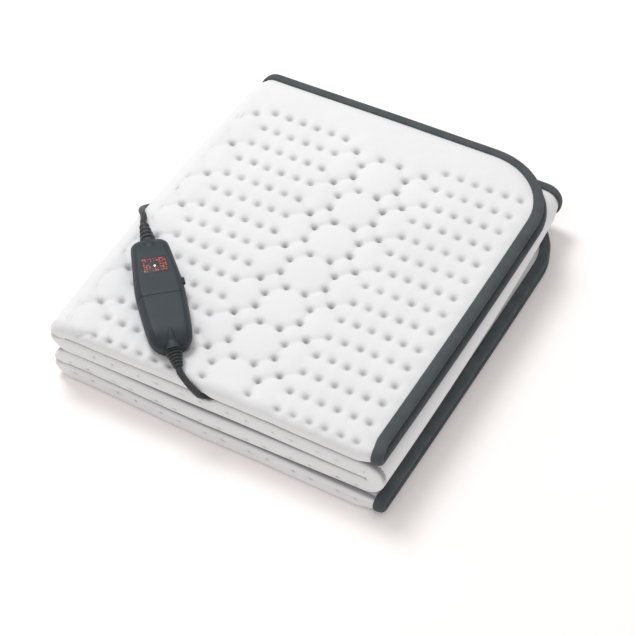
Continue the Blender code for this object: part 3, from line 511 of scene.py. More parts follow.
def smooth_line(points, spacing):
    """Evenly spaced points on a smooth curve through the given ones."""
    knots = [Vector(p) for p in points]
    knots = [2 * knots[0] - knots[1]] + knots + [2 * knots[-1] - knots[-2]]
    fine = [
        0.5 * (2 * b + (c - a) * t + (2 * a - 5 * b + 4 * c - d) * t * t
               + (3 * b - a - 3 * c + d) * t ** 3)
        for a, b, c, d in zip(knots, knots[1:], knots[2:], knots[3:])
        for t in spaced(0.0, 1.0, 20)[:-1]
    ]
    fine.append(knots[-2])
    total = sum((b - a).length for a, b in zip(fine, fine[1:]))
    count = max(2, round(total / spacing))
    line, way, target = [fine[0]], 0.0, total / count
    for a, b in zip(fine, fine[1:]):
        step = (b - a).length
        while way + step >= target - 1e-9 and len(line) < count:
            line.append(a + (b - a) * ((target - way) / step))
            target += total / count
        way += step
    return line + [fine[-1]] if len(line) == count else line


def half_round(x, y, wide, deep, start, low, high):
    """Points of a half turn, clockwise from an angle, from one height to another."""
    points = []
    for part in spaced(0.0, 1.0, 12)[1:-1]:
        turn = radians(start - 180 * part)
        points.append((x + wide * cos(turn), y + deep * sin(turn), low + (high - low) * ease(part)))
    return points


def hank_route():
    """The put-away length: four turns, two side by side and two above them, round ends."""
    left_x = HANK_RIGHT_X - HANK_RUN
    middle_y = HANK_NEAR_Y + HANK_LOOP
    outer, inner = HANK_LOOP, HANK_LOOP - CORD
    low, high = HANK_Z, HANK_Z + CORD
    # each turn's radius and height
    turns = ((outer, low), (inner, low), (inner, high), (outer, high))
    route = []
    for (radius, z), after in zip(turns, turns[1:] + (None,)):
        route += [(x, middle_y - radius, z) for x in spaced(HANK_RIGHT_X, left_x, 7)]
        route += half_round(left_x, middle_y, radius, radius, -90, z, z)
        route += [(x, middle_y + radius, z) for x in spaced(left_x, HANK_RIGHT_X, 7)]
        if after:
            bulge = outer - 0.0004 if radius != after[0] else inner
            span = (radius + after[0]) / 2
            y = middle_y + (radius - after[0]) / 2
            route += half_round(HANK_RIGHT_X, y, bulge, span, 90, z, after[1])
    return route


def cord_line(first, middle, last, spacing):
    """A cord's points, with a straight stub out of the relief at each end that has one."""
    after = [relief_tip(last, CORD_STUB)] if last else []
    line = smooth_line([relief_tip(first, CORD_STUB), *middle, *after], spacing)
    return [relief_tip(first), *line] + ([relief_tip(last)] if last else [])


MAINS_LINE = cord_line("mains", MAINS_ROUTE, None, 0.0098)
IN_SLIT = [i for i, p in enumerate(MAINS_LINE) if abs(p[2] - SLIT_1_Z) < SLIT_NEAR]
SLIT_LINE = [MAINS_LINE[i] for i in (IN_SLIT[0] - 1, *IN_SLIT)]


# --- making things ---
def new_object(name, data):
    item = bpy.data.objects.new(name, data)
    bpy.context.collection.objects.link(item)
    return item


def add_piece(name, data, look, body):
    item = new_object(name, data)
    item.data.materials.append(look)
    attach(item, body)
    return item


def mesh_piece(name, points, faces, look, angle, body=CLOTH_BODY, flat=None):
    """A smooth mesh in the row frame; flat gives each point's place on its flat pattern."""
    mesh = bpy.data.meshes.new(name)
    mesh.from_pydata([Vector(p) + SHIFT for p in points], [], faces)
    mesh.update()
    if flat is not None:
        layer = mesh.uv_layers.new(name="flat")
        for loop in mesh.loops:
            layer.data[loop.index].uv = flat[loop.vertex_index]
    shell = bmesh.new()
    shell.from_mesh(mesh)
    bmesh.ops.recalc_face_normals(shell, faces=shell.faces)
    shell.to_mesh(mesh)
    shell.free()
    mesh.shade_smooth()
    mesh.set_sharp_from_angle(angle=radians(angle))
    return add_piece(name, mesh, look, body)


def ring_faces(rings, count, closed=False):
    """Faces between rings of points, with a cap at both ends where the row isn't closed."""
    faces = []
    for i in range(rings if closed else rings - 1):
        low = i * count
        high = (i + 1) % rings * count
        for k in range(count):
            m = (k + 1) % count
            faces.append((low + k, low + m, high + m, high + k))
    if not closed:
        faces.append(tuple(reversed(range(count))))
        faces.append(tuple(range((rings - 1) * count, rings * count)))
    return faces


# --- materials ---
class Nodes:
    """A material's node tree, with short calls for the nodes used here."""

    def __init__(self, name, colour, roughness, **inputs):
        self.material = bpy.data.materials.new(name)
        self.material.use_nodes = True
        self.tree = self.material.node_tree
        self.shader = self.tree.nodes["Principled BSDF"]
        self.shader.inputs["Base Color"].default_value = (*colour, 1.0)
        self.shader.inputs["Roughness"].default_value = roughness
        for key, value in inputs.items():
            self.shader.inputs[key.replace("_", " ")].default_value = value

    def add(self, kind, links=(), **values):
        node = self.tree.nodes.new("ShaderNode" + kind)
        for key, value in values.items():
            if hasattr(node, key):
                setattr(node, key, value)
            else:
                node.inputs[key.replace("_", " ")].default_value = value
        for source, target in links:
            self.tree.links.new(source, node.inputs[target])
        return node

    def shade(self, source, target):
        self.tree.links.new(source, self.shader.inputs[target])

    def flat(self):
        """Coordinates on the flat pattern."""
        return self.add("UVMap", uv_map="flat").outputs["UV"]

    def noise(self, scale, detail, place=None):
        if place is None:
            place = self.add("TexCoord").outputs["Object"]
        return self.add("TexNoise", [(place, "Vector")], Scale=scale, Detail=detail).outputs["Fac"]

    def waves(self, direction, scale, distortion):
        node = self.add("TexWave", [(self.flat(), "Vector")], wave_type="BANDS",
                        bands_direction=direction, Scale=scale, Distortion=distortion)
        return node.outputs["Fac"]

    def bump(self, height, strength, distance, under=None):
        node = self.add("Bump", [(height, "Height")], Strength=strength, Distance=distance)
        if under:
            self.tree.links.new(under, node.inputs["Normal"])
        self.shade(node.outputs["Normal"], "Normal")
        return node.outputs["Normal"]

    def tint(self, factor, dark, light, spread):
        """A colour from dark to light, where the factor lies around a half by the spread."""
        ramp = self.add("ValToRGB", [(factor, "Fac")])
        for stop, colour, place in zip(ramp.color_ramp.elements, (dark, light), (-spread, spread)):
            stop.position = 0.5 + place
            stop.color = (*colour, 1.0)
        self.shade(ramp.outputs["Color"], "Base Color")
        return ramp.outputs["Color"]


def cloth_material():
    made = Nodes("quilt_cloth", (0.8, 0.8, 0.8), 0.92, Sheen_Weight=0.2, Sheen_Roughness=0.5)
    weave = [(made.waves("X", 260.0, 0.6), 0), (made.waves("Y", 330.0, 0.6), 1)]
    knit = made.add("Math", weave, operation="MULTIPLY")
    first = made.bump(knit.outputs["Value"], 0.35, 0.00025)
    pulled = made.add("Mapping", [(made.flat(), "Vector")], Scale=(170.0, 620.0, 1.0))
    pulls = made.noise(1.0, 2.0, pulled.outputs["Vector"])
    second = made.bump(pulls, 0.35, 0.0006, first)
    made.bump(made.noise(900.0, 3.0), 0.15, 0.0003, second)
    plain = made.tint(made.noise(14.0, 2.0), *CLOTH_TINTS, 0.2)
    # painted shade: the cloth's colour is mixed towards the grey where the pits, creases and folds
    # are shaded
    painted_shade = made.add("Attribute", attribute_name="painted_shade")
    mix = made.add("Mix", data_type="RGBA")
    colour_a, colour_b, colour_out = mix.inputs[6], mix.inputs[7], mix.outputs[2]
    made.tree.links.new(painted_shade.outputs["Fac"], mix.inputs["Factor"])
    made.tree.links.new(plain, colour_a)
    colour_b.default_value = (*PAINTED_SHADE_TINT, 1.0)
    made.shade(colour_out, "Base Color")
    return made.material


def tape_material():
    made = Nodes("edge_tape", (0.07, 0.082, 0.088), 0.85, Specular_IOR_Level=0.2,
                 Sheen_Weight=0.06, Sheen_Roughness=0.5)
    first = made.bump(made.waves("X", 420.0, 0.3), 0.3, 0.0002)
    made.bump(made.noise(1200.0, 2.0), 0.2, 0.0002, first)
    made.tint(made.noise(60.0, 3.0), *TAPE_TINTS, 0.2)
    return made.material


def plastic_material(name, dark, light, roughness, grain):
    made = Nodes(name, light, roughness, Specular_IOR_Level=0.32)
    made.bump(made.noise(2200.0, 2.0), grain, 0.00012)
    patch = made.noise(45.0, 2.0)
    made.tint(patch, dark, light, 0.15)
    limits = {"To_Min": roughness - 0.05, "To_Max": roughness + 0.05}
    wear = made.add("MapRange", [(patch, "Value")], **limits)
    made.shade(wear.outputs["Result"], "Roughness")
    return made.material


def glow_material(name, colour, strength):
    made = Nodes(name, colour, 0.4, Emission_Color=(*colour, 1.0), Emission_Strength=strength)
    made.bump(made.noise(900.0, 2.0), 0.05, 0.0001)
    return made.material


# --- the quilted cloth ---
def outer_place(along, across):
    """The quilting grid's x and y at a place of the top's outside, as if its folds lay flat."""
    push_x, push_y = uneven_push(along, across)
    x = END_1_X - along if along <= RUNS[0] else TURN_X[0] - (along - RUNS[0]) * TURN_OUT / TURN
    if across >= ROLL:
        y = FOLD_Y + across - ROLL
    else:
        y = FOLD_Y - (ROLL - across) * (HAIRPIN + HALF) / HAIRPIN
    return x + push_x, y + push_y


def grid_place(column, row):
    return PATTERN_X + column * PITCH, PATTERN_Y - row * ROW


def bands():
    """Column and row of the middle of each big bubble."""
    return [
        (BUBBLE_COLUMN - block, BUBBLE_ROW + 2 * repeat - (BAND_SHIFT if block else 0))
        for block in (0, PATTERN_REPEAT)
        for repeat in range(ROWS // 2 + 1)
    ]


def on_grid(row):
    return -0.1 <= row <= ROWS - 0.6


def near_fold(x):
    """The quilting dies away towards the left fold."""
    return ease((x - FOLD_FADE[0]) / FOLD_FADE[1])


def quilt_dots():
    """x, y and strength of each dot."""
    seed(7)
    dots = []
    for start in (0, -PATTERN_REPEAT):
        dots += [(start + column, row) for row in range(ROWS) for column in range(BLOCK_COLUMNS)]
    band = [(c + column, r + row) for c, r in bands() for column, row in BAND_DOTS]
    dots += [place for place in band if on_grid(place[1])]
    places = []
    for column, row in dots:
        x, y = grid_place(column, row)
        weight = uniform(0.85, 1.1) * near_fold(x)
        if weight > WEAKEST and (x > BARE_CORNER[0] or y > BARE_CORNER[1]):
            stray = [uniform(-STRAY, STRAY) for _ in range(2)]
            places.append((x + stray[0], y + stray[1], weight))
    return places


def quilt_creases():
    """Ends of each crease, with how deep it is beside the others."""
    seed(11)
    pairs = [pair for line in BAND_CREASES for pair in zip(line, line[1:])]
    creases = []
    for c, r in bands():
        for (c1, r1), (c2, r2) in pairs:
            start, end = grid_place(c + c1, r + r1), grid_place(c + c2, r + r2)
            weight = uniform(0.45, 1.15) * near_fold((start[0] + end[0]) / 2)
            if on_grid(r + r1) and on_grid(r + r2) and weight > WEAKEST:
                creases.append((start, end, weight))
    return creases


DOTS = quilt_dots()
CREASES = quilt_creases()


def crease_distance(places, start, end):
    ax, ay = start
    dx, dy = end[0] - ax, end[1] - ay
    part = ((places[:, 0] - ax) * dx + (places[:, 1] - ay) * dy) / (dx * dx + dy * dy)
    part = np.clip(part, 0, 1)
    return np.hypot(places[:, 0] - ax - part * dx, places[:, 1] - ay - part * dy)


def bell(away):
    return np.exp(-away ** 2)


def stamp(height, shade, away, weight, shape, dark):
    """Press a pit or a crease into the heights and paint shade into it, by the distance away."""
    height -= weight * shape[0] * bell(away / shape[1])
    shade += weight * dark[0] * bell(away / (dark[1] * shape[1]))


def quilt_height(places):
    """Height of the quilting above the plain cloth at each (x, y) of the grid, and its painted
    shade.
    """
    pinned = np.full(len(places), FAR)
    height, shade = np.zeros((2, len(places)))
    for x, y, weight in DOTS:
        away = np.hypot(places[:, 0] - x, places[:, 1] - y)
        pinned = np.minimum(pinned, away + WEAK_DOT * (1 - min(weight, 1)))
        stamp(height, shade, away, weight, PIT, PIT_SHADE)
    for start, end, weight in CREASES:
        away = crease_distance(places, start, end)
        pinned = np.minimum(pinned, away + WEAK_CREASE[0] - WEAK_CREASE[1] * weight)
        stamp(height, shade, away, weight, CREASE, CREASE_SHADE)
    height += PUFF[0] * (1 - np.exp(-(pinned / PUFF[1]) ** PUFF[2])) - LOW
    for i, (x, y) in enumerate(places):
        for rise, waves, level in UNDULATIONS:
            height[i] += rise * noise.noise(Vector((x * waves, y * waves, level)))
    return height, np.clip(shade, 0, 1)


def front_height(first, level, places):
    """The same for a lower front fold, at (x, distance round the fold from its middle)."""
    height, shade = np.zeros((2, len(places)))
    for k in range(FRONT_COUNT):
        for step in (0.0, FRONT_PAIR):
            x = first + FRONT_PERIOD * k + step
            away = np.hypot(places[:, 0] - x, places[:, 1] - level * FRONT_LEVEL)
            stamp(height, shade, away, 1.0, STRIP_PIT, STRIP_SHADE)
    return height, np.clip(shade, 0, 1)


def pattern_lines():
    """Lines of the flat cloth that its mesh keeps: across at the turns, along the front fold."""
    across = [-REACH + EDGE_SLOPE, *wide_stops(), REACH - EDGE_SLOPE]
    along = [EDGE_SLOPE, *straight_stops(), LENGTH - EDGE_SLOPE]
    lines = [[(s, t) for t in across] for s in turn_stops()]
    return lines + [[(s, t) for s in along] for t in across_stops()]


def inner_place(x, y):
    """Place on the flat cloth of a point of the quilting's grid: the other way round."""
    along, across = END_1_X - x, y - FOLD_Y + ROLL
    for _ in range(5):
        push_x, push_y = uneven_push(along, across)
        along = END_1_X - x + push_x
        if along > RUNS[0]:
            along = RUNS[0] + (along - RUNS[0]) * TURN / TURN_OUT
        across = y - push_y - FOLD_Y + ROLL
        if across < ROLL:
            across = ROLL - (ROLL - across) * HAIRPIN / (HAIRPIN + HALF)
    return along, across


def nose_middles():
    return RUNS[0] + TURN_ARC / 2, STARTS[3] - TURN_ARC / 2


def quilt_points():
    """Rings of points round each dot and rows of them along each crease, in the grid's x and y."""
    points = []
    for x, y, _ in DOTS:
        for radius, count in DOT_RINGS:
            turns = [2 * pi * k / count + radius * RING_TWIST for k in range(count)]
            points += [(x + radius * cos(a), y + radius * sin(a)) for a in turns]
    for (ax, ay), (bx, by), _ in CREASES:
        dx, dy = bx - ax, by - ay
        length = hypot(dx, dy)
        for part in stepped(0.0, 1.0, CREASE_STEP / length):
            x, y = ax + dx * part, ay + dy * part
            points += [(x - dy / length * off, y + dx / length * off) for off in CREASE_ROWS]
    return points


def fine_points():
    """More points of the outside, close together where the quilting or the folds need them."""
    points = [inner_place(x, y) for x, y in quilt_points()]
    points = [p for p in points if p[0] < RUNS[0] + TURN_ARC / 2 and p[1] > 0]
    kept = {}

    def spare(place):
        cell = (int(place[0] // CLOSE), int(place[1] // CLOSE))
        for dx in (-1, 0, 1):
            for dy in (-1, 0, 1):
                near = kept.get((cell[0] + dx, cell[1] + dy))
                if near and hypot(near[0] - place[0], near[1] - place[1]) < CLOSE:
                    return False
        kept[cell] = place
        return True

    points = [p for p in points if spare(p)]
    turn_end = RUNS[0] + TURN_ARC
    rows = stepped(EDGE_BAND + 0.0015, RUNS[0], FINE)
    rows += stepped(RUNS[0], turn_end, FINE * 0.6)[1:]
    for i, s in enumerate(rows):
        offset = FINE / 2 if i % 2 else 0.0
        columns = [t + offset for t in stepped(ROLL, REACH - EDGE_BAND - 0.002, FINE)]
        points += [(s, t) for t in columns if spare((s, t))]
        points += [(s, t) for t in across_stops()]
    front = stepped(turn_end, LENGTH - EDGE_SLOPE, FRONT_FINE)
    for middle in nose_middles():
        front += spaced(middle - NOSE_HALF, middle + NOSE_HALF, 12)
    return points + [(s, t) for s in front for t in spaced(-ROLL, ROLL, 26)]


def groove_points():
    """More points of the two layers that the mains cord's groove bends."""
    kept = []
    for (ax, ay, _), (bx, by, _) in zip(SLIT_LINE, SLIT_LINE[1:]):
        dx, dy = bx - ax, by - ay
        length = hypot(dx, dy)
        for part in spaced(0.0, 1.0, 4)[:-1]:
            for side in spaced(-GROOVE_HALF, GROOVE_HALF, 8):
                x = ax + dx * part - dy / length * side
                y = ay + dy * part + dx / length * side
                for run in (0, 1):
                    along, across = flat_place(run, x, y, -1)
                    if -REACH + EDGE_SLOPE < across < -ROLL - 0.001:
                        kept.append((along, across))
    return kept


def finer(stops):
    """More points on the straight lines of a closed loop."""
    more = []
    for (s1, t1), (s2, t2) in zip(stops, stops[1:] + stops[:1]):
        length = hypot(s2 - s1, t2 - t1)
        count = max(1, round(length / (FINE / 2)))
        more += [(s1 + (s2 - s1) * k / count, t1 + (t2 - t1) * k / count) for k in range(count)]
    return more


def flat_mesh(extra):
    """One face of the flat cloth: its points, its triangles and the points of its rim in order."""
    points = []
    numbers = {}
    links = []

    def number(along, across):
        key = (round(along, 5), round(across, 5))
        if key not in numbers:
            numbers[key] = len(points)
            points.append(Vector((along, across)))
        return numbers[key]

    rim = []
    for inset in (0.0, EDGE_BAND, EDGE_SLOPE):
        stops = [(s, t) for s, t, _, _ in edge_loop(inset)]
        if extra and inset == EDGE_SLOPE:
            stops = finer(stops)
        loop = [number(s, t) for s, t in stops]
        rim = rim or loop
        links += [(a, b) for a, b in zip(loop, loop[1:] + loop[:1]) if a != b]
    for line in pattern_lines():
        stops = [number(s, t) for s, t in line]
        links += list(zip(stops, stops[1:]))
    for s, t in extra:
        inside = edge_distance(s, t)
        if inside > EDGE_BAND + BAND_CLEAR and abs(inside - EDGE_SLOPE) > SLOPE_CLEAR:
            number(s, t)
    made, _, faces, origins, _, _ = delaunay_2d_cdt(points, links, [], 0, 1e-6)
    renumbered = {source: index for index, sources in enumerate(origins) for source in sources}
    rim = [renumbered[source] for source in rim]
    return made, faces, [a for a, before in zip(rim, [None] + rim) if a != before]


def relief(flat):
    """Quilting height of each point of the outside, and how dark its painted shade makes it."""
    height, shade = np.zeros((2, len(flat)))
    top = [i for i, (s, t) in enumerate(flat) if t > -ROLL and s < RUNS[0] + TURN_ARC]
    height[top], shade[top] = quilt_height(np.array([outer_place(*flat[i]) for i in top]))
    for i in top:
        s, t = flat[i]
        fade = ease((edge_distance(s, t) - EDGE_BAND - RIM_FADE[0]) / RIM_FADE[1])
        fade *= ease((t + ROLL) / ROLL)
        fade *= 1 - ease((s - RUNS[0]) / (NOSE_FADE * TURN_ARC) - 1)
        height[i] *= fade
        shade[i] *= fade
    stretch = (HAIRPIN + HALF) / HAIRPIN
    for double, (first, level) in FRONT_DOTS.items():
        heading = 1 if double % 2 else -1
        start, end, x = STARTS[double], STARTS[double] + RUNS[double], TURN_X[double - 1]
        near = [i for i, (s, t) in enumerate(flat) if abs(t) < ROLL * 1.01 and start <= s <= end]
        there = [flat[i] for i in near]
        places = [(x + heading * (s - start), -heading * t * stretch) for s, t in there]
        height[near], shade[near] = front_height(first, level, np.array(places))
    for i, (s, t) in enumerate(flat):
        if abs(t) < ROLL:
            rise, dark = front_shape(s, t)
            height[i] += rise
            shade[i] = min(shade[i] + dark, 1)
    return height, shade


def front_shape(s, t):
    """What the front folds add: flat faces, and painted shade in the creases between them and
    across the left turns.
    """
    turn = abs(t) / HAIRPIN
    top_roll = (1 - ease((s - RUNS[0]) / TURN_ARC)) * (t > 0)
    power = BULGE + (2 - BULGE) * top_roll
    flatter = (abs(cos(turn)) ** power + abs(sin(turn)) ** power) ** (-1 / power) - 1
    rise = (HAIRPIN + HALF) * flatter * ease((LENGTH - s) / END_FADE) * ease(s / END_FADE)
    most, first, over = UNDER_SHADE if s > STARTS[3] and t > 0 else BETWEEN_SHADE
    dark = most * ease((turn - first) / over) * (1 - top_roll)
    if t < 0:
        # nothing lies on the second double layer past the top one's end, so it gets no painted
        # shade there
        open_from = STARTS[1] + END_1_X - TURN_X[0] - OPEN_FADE
        closed_from = STARTS[2] - OPEN_FADE
        dark *= 1 - ease((s - open_from) / OPEN_FADE) + ease((s - closed_from) / OPEN_FADE)
    across = 1 - ease((t / ROLL - 0.1) / 0.9)
    for middle in nose_middles():
        away = (s - middle) / NOSE_CREASE[1]
        rise -= NOSE_CREASE[0] * across * bell(away)
        dark += NOSE_SHADE[0] * across * bell(away / NOSE_SHADE[1])
    return rise, dark


def build_cloth(look):
    points, faces, flats, rims, shades = [], [], [], [], []
    for side in (1, -1):
        outside = side > 0
        places, triangles, rim = flat_mesh(fine_points() + groove_points() if outside else [])
        places = [tuple(p) for p in places]
        base = len(points)
        rises, darks = relief(places) if outside else np.zeros((2, len(places)))
        for (s, t), rise in zip(places, rises):
            points.append(fold(s, t, side * half_thickness(s, t) + float(rise)))
        flats += places
        shades += [float(dark) for dark in darks]
        for a, b, c in triangles:
            faces.append([base + i for i in ((a, c, b) if outside else (a, b, c))])
        rims.append([base + i for i in rim])
    upper, lower = rims
    faces += zip(upper, upper[1:] + upper[:1], lower[1:] + lower[:1], lower)
    cloth = mesh_piece("quilted_blanket", points, faces, look, 60, flat=flats)
    # painted shade of the pits, creases and folds, kept on the points
    painted_shade = cloth.data.attributes.new("painted_shade", "FLOAT", "POINT")
    painted_shade.data.foreach_set("value", shades)
    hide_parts("blanket_cloth")
    return cloth


# --- the binding ---
def binding_section():
    """The folded tape across the edge, closed: out from the edge, height off its middle."""
    inside = EDGE_HALF + EDGE_EASE
    upper = [(-BINDING_WIDTH, inside + 0.0002)] + [(out, HALF + rise) for out, rise in TAPE_SHAPE]
    return upper + [(e, -w) for e, w in reversed(upper)] + [(GAP, -inside), (GAP, inside)]


def walked(line):
    """The way along a line to each of its points."""
    steps = [hypot(b[0] - a[0], b[1] - a[1]) for a, b in zip(line, line[1:])]
    return [0.0, *accumulate(steps)]


def build_binding(look):
    section = binding_section()
    loop = []
    for stop in edge_loop(0.0):
        if not loop or hypot(stop[0] - loop[-1][0], stop[1] - loop[-1][1]) > 1e-5:
            loop.append(stop)
    points, flats = [], []
    for (s, t, out_s, out_t), way in zip(loop, walked(loop)):
        for (away, height), wrapped in zip(section, walked(section)):
            points.append(fold(s + out_s * away, t + out_t * away, height))
            flats.append((way, wrapped))
    faces = ring_faces(len(loop), len(section), closed=True)
    binding = mesh_piece("edge_tape", points, faces, look, 70, flat=flats)
    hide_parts("edge_binding")
    return binding


# --- the controller ---
def housing_at(u):
    """Half width and height, on a smooth curve through the table."""
    rows = HOUSING
    for i in range(len(rows) - 1):
        if rows[i][0] <= u <= rows[i + 1][0]:
            a, b, c, d = rows[max(i - 1, 0)], rows[i], rows[i + 1], rows[min(i + 2, len(rows) - 1)]
            span = c[0] - b[0]
            t = (u - b[0]) / span
            result = []
            for k in (1, 2):
                before = (c[k] - a[k]) / max(c[0] - a[0], 1e-6) * span
                after = (d[k] - b[k]) / max(d[0] - b[0], 1e-6) * span
                h = (2 * t ** 3 - 3 * t ** 2 + 1) * b[k] + (t ** 3 - 2 * t ** 2 + t) * before
                result.append(h + (3 * t ** 2 - 2 * t ** 3) * c[k] + (t ** 3 - t ** 2) * after)
            return result
    return rows[-1][1:]


def mirrored(u, half):
    """A ring from its left half, from the seam to near the middle."""
    left = [control_place(u, -v, z) for v, z in half]
    return left + [control_place(u, v, z) for v, z in reversed(half)]


def upper_ring(u, drop, shrink=0.0):
    """The upper shell's outline at a place along it; drop lowers its face, shrink rounds a seam."""
    width, height = housing_at(u)
    width -= shrink
    base = CONTROL_SPLIT_Z + GAP / 2
    rise = height - (drop + shrink) - base
    half = [(width - inset, base + rise * part) for inset, part in UPPER_SHAPE]
    flat_half, top = half[-1]
    return mirrored(u, half + [(flat_half * 0.6, top), (flat_half * 0.2, top)])


def lower_ring(u):
    half = ((0.0, CONTROL_SPLIT_Z - GAP / 2), *LOWER_SHAPE)
    return mirrored(u, [(housing_at(u)[0] - inset, z) for inset, z in half])


def loft(name, rings, look, replaced=None, angle=35):
    points = [p for ring in rings for p in ring]
    faces = ring_faces(len(rings), len(rings[0]))
    made = mesh_piece(name, points, faces, look, angle)
    if replaced:
        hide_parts(replaced)


def control_box(name, size, at, look, bevel, body=CLOTH_BODY):
    """A small rounded block in the controller's own directions."""
    shell = bmesh.new()
    bmesh.ops.create_cube(shell, size=1.0)
    bmesh.ops.scale(shell, vec=size, verts=shell.verts)
    bmesh.ops.bevel(shell, geom=shell.edges, offset=bevel, segments=3, affect="EDGES", profile=0.5)
    points = [control_place(at[0] + v.co.x, at[1] + v.co.y, at[2] + v.co.z) for v in shell.verts]
    faces = [[v.index for v in f.verts] for f in shell.faces]
    shell.free()
    return mesh_piece(name, points, faces, look, 50, body)


def build_controller(plastic, glass, key_look, red, white):
    first, last = HOUSING[0][0], HOUSING[-1][0]
    near = [first + ROUND_STEP * k for k in range(8)]
    far = [last - ROUND_STEP * k for k in range(7, -1, -1)]
    stops = near + stepped(first + LOFT_STEP, last - LOFT_STEP, LOFT_STEP) + far
    loft("remote_base", [lower_ring(u) for u in stops], plastic, "controller_base")
    seam = CONTROL_STEP_U - GAP
    stops = near + stepped(first + LOFT_STEP, seam - SEAM_CLEAR, LOFT_STEP)
    rings = [upper_ring(u, STEP_DEPTH) for u in stops]
    rings += [upper_ring(seam - back, STEP_DEPTH, shrink) for back, shrink in COVER_SEAM]
    loft("remote_cover", rings, plastic, "controller_cover")
    stops = stepped(CONTROL_STEP_U + SEAM_CLEAR, last - LOFT_STEP, LOFT_STEP) + far
    rings = [upper_ring(CONTROL_STEP_U + out, 0.0, shrink) for out, shrink in CAP_SEAM]
    rings += [upper_ring(u, 0.0) for u in stops]
    loft("remote_cap", rings, plastic, "controller_cap")
    tongue("remote_boss", first, BOSS, LEAD_RELIEF_Z + LEAD_RELIEF[1], STEP_DEPTH, plastic)
    tongue("remote_ridge", last + RIDGE_PAST, RIDGE, MAINS_RELIEF_Z + 0.0073, 0.0, plastic)
    face = housing_at(WINDOW_U)[1] - STEP_DEPTH
    window = control_box("remote_window", (0.0195, 0.0215, 0.0006), (WINDOW_U, 0.0, face - 0.0001),
                         glass, 0.0002)
    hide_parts("display_window")
    build_marks(face + MARK_THICK, red, white)
    wall = housing_at(KEY_U)[0]
    key = control_box("remote_key", (0.007, 0.0052, 0.003), (KEY_U, wall - 0.0012, 0.0126),
                      key_look, 0.0005, KEY_BODY)
    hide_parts("side_key")


def tongue(name, end, shape, root_z, drop, look):
    """A raised tongue from the cord's root over the housing's face, running out to nothing."""
    reach, wide, narrow = shape
    rings = []
    for k in range(17):
        part = k / 16
        u = end + reach * part
        width = narrow + (wide - narrow) * (1 - part) ** 1.3
        width *= max(1 - part ** 8, 0.05) ** 0.5
        face = housing_at(u)[1] - drop
        crown = max(face + 0.0014 * (1 - part ** 3), root_z + 0.0002 - 0.0012 * part)
        crown -= 0.0008 * part ** 6
        base = min(face, crown) - 0.002
        turns = [pi * m / 14 for m in range(15)]
        rings.append([
            control_place(u, -width * cos(a), base + (crown - base) * sin(a) ** 0.7) for a in turns
        ])
    if reach < 0:
        rings.reverse()
    loft(name, rings, look, angle=50)


def build_marks(face, red, white):
    """Lit marks of no meaning, broken and uneven, round a white dot."""
    seed(5)
    marks = 0
    for row in range(MARK_ROWS):
        for column in range(MARK_COLUMNS):
            off_u = (row - MARK_ROWS // 2) * MARK_PITCH + uniform(-MARK_STRAY, MARK_STRAY)
            v = (column - MARK_COLUMNS // 2) * MARK_PITCH
            v += uniform(-MARK_STRAY, MARK_STRAY)
            if hypot(off_u, v) < MARK_CLEAR or random() < MARK_GAPS:
                continue
            size = (uniform(0.0006, 0.0017), uniform(0.0007, 0.0019), MARK_THICK)
            control_box(f"remote_mark_{marks}", size, (WINDOW_U + off_u, v, face), red, 0.00008)
            marks += 1
    control_box("remote_light", (0.0016, 0.0016, 0.0004), (WINDOW_U + 0.0017, -0.0002, face),
                white, 0.0005)


def turned(name, profile, look, start, heading, replaced):
    """A round piece on an axis, from (distance, radius) pairs."""
    side = heading.cross(Vector((0.0, 0.0, 1.0))).normalized()
    up = side.cross(heading)
    turns = [2 * pi * k / 36 for k in range(36)]
    rings = [
        [start + heading * away + (side * cos(a) + up * sin(a)) * radius for a in turns]
        for away, radius in profile
    ]
    loft(name, rings, look, replaced, 50)


def relief_profile(length, root, tip, ribs, collar):
    """Collar, rounded ribs parted by grooves, and a plain tip."""
    profile = [(0.0, root - 0.0006), (0.0005, root), (length * collar, root)]
    profile.append((length * (collar + 0.015), root - 0.0003))
    span = length * (0.9 - collar) / ribs
    for i in range(ribs):
        start = length * (collar + 0.04) + span * i
        radius = root + (tip - root) * (start / length) ** 0.8
        profile += [(start + span * at, max(radius * part, tip * 0.86)) for at, part in RIB_SHAPE]
    return profile + [(length - 0.0006, tip), (length, tip - 0.0005)]


def build_reliefs(look):
    for name, (start, heading, sizes, collar) in RELIEFS.items():
        profile = relief_profile(*sizes, collar)
        turned("strain_" + name, profile, look, start, heading, name + "_relief")


def build_cords(look):
    lead = cord_line("lead", LEAD_ROUTE, "socket", 0.006)
    route = [*MAINS_ROUTE, HANK_JOIN[0], *hank_route(), HANK_JOIN[1], *TAIL_ROUTE]
    mains = cord_line("mains", [*route, relief_tip("plug", 0.006)], None, 0.005)
    mains.append(relief_tip("plug"))
    with_plug = ["plug_body", "plug_pin_left", "plug_pin_right", "hank_tie"]
    for name, points, end, others, replaced in (
        ("lead_cord", lead, "object", [], ("blanket_lead",)),
        ("mains_cord", mains, "plug", with_plug, ("mains_lead", "mains_hank", "mains_tail")),
    ):
        curve = bpy.data.curves.new(name, "CURVE")
        curve.dimensions = "3D"
        curve.bevel_depth = CORD / 2
        curve.bevel_resolution = 6
        curve.use_fill_caps = True
        spline = curve.splines.new("POLY")
        spline.points.add(len(points) - 1)
        for knot, place in zip(spline.points, points):
            knot.co = (*(Vector(place) + SHIFT), 1.0)
        spline.use_smooth = True
        item = add_piece(name, curve, look, CLOTH_BODY)
        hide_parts(*replaced)


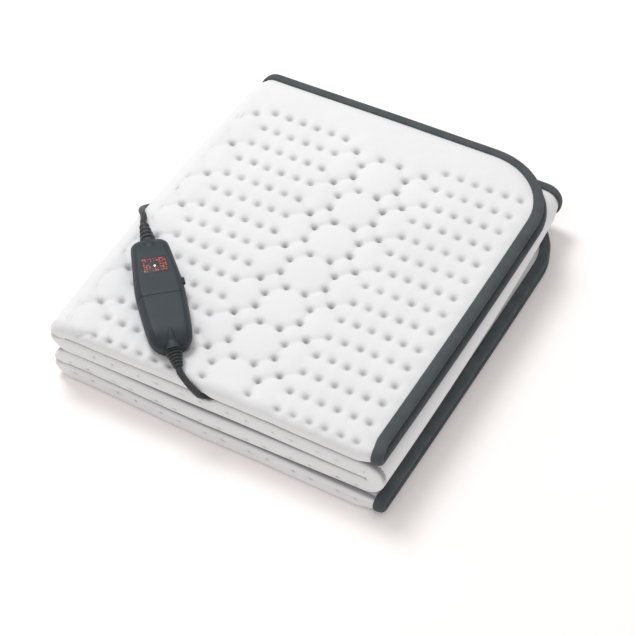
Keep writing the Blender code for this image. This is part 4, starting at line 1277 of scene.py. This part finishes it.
# --- stage ---
def build_stage():
    mesh = bpy.data.meshes.new("floor")
    corners = ((-4.0, -4.0), (4.0, -4.0), (4.0, 4.0), (-4.0, 4.0))
    mesh.from_pydata([(x, y, -0.0002) for x, y in corners], [], [(0, 1, 2, 3)])
    floor = new_object("floor", mesh)
    made = Nodes("floor_white", (0.92, 0.88, 0.87), 0.9,
                 Emission_Color=(1.0, 0.91, 0.9, 1.0), Emission_Strength=0.12)
    floor.data.materials.append(made.material)
    world = bpy.data.worlds.new("studio")
    bpy.context.scene.world = world
    world.use_nodes = True
    background = world.node_tree.nodes["Background"]
    background.inputs["Color"].default_value = (1.0, 0.985, 0.98, 1.0)
    background.inputs["Strength"].default_value = 0.62
    aim = Vector((0.0, 0.0, 0.03))
    for name, (at, size, power, colour) in LIGHTS.items():
        light = bpy.data.lights.new(name, "AREA")
        light.size = size
        light.energy = power
        light.color = colour
        item = new_object(name, light)
        item.location = at
        item.rotation_euler = (aim - Vector(at)).to_track_quat("-Z", "Y").to_euler()


def build_camera():
    camera = bpy.data.cameras.new("camera")
    camera.lens = 127.9
    camera.sensor_width = 36.0
    item = new_object("camera", camera)
    aim = Vector((0.0325, -0.0767, 0.0667)) + SHIFT
    back = Vector((0.3228, -0.6067, 0.7264)).normalized()
    item.location = aim + back * 1.931
    item.rotation_euler = back.to_track_quat("Z", "Y").to_euler()
    scene = bpy.context.scene
    scene.camera = item
    scene.view_settings.view_transform = "Standard"
    scene.view_settings.look = "None"


def repaint_nodes(rubber, key_look, metal):
    """The hidden pieces keep their solids' own meshes."""
    for look, nodes in (
        (rubber, ("lead_socket", "plug_body")),
        (key_look, ("hank_tie",)),
        (metal, ("plug_pin_left", "plug_pin_right")),
    ):
        for node in nodes:
            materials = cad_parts[node].data.materials
            materials.clear()
            materials.append(look)


def main():
    build_camera()
    looks = [plastic_material(name, *values) for name, values in PLASTICS.items()]
    rubber, plastic, key_look, glass, metal = looks
    metal.node_tree.nodes["Principled BSDF"].inputs["Metallic"].default_value = 1.0
    build_cords(rubber)
    cloth = build_cloth(cloth_material())
    binding = build_binding(tape_material())
    build_controller(plastic, glass, key_look, glow_material("mark_red", (0.46, 0.05, 0.05), 0.28),
                     glow_material("mark_white", (0.9, 0.9, 0.88), 1.2))
    build_reliefs(rubber)
    repaint_nodes(rubber, key_look, metal)
    build_stage()


main()
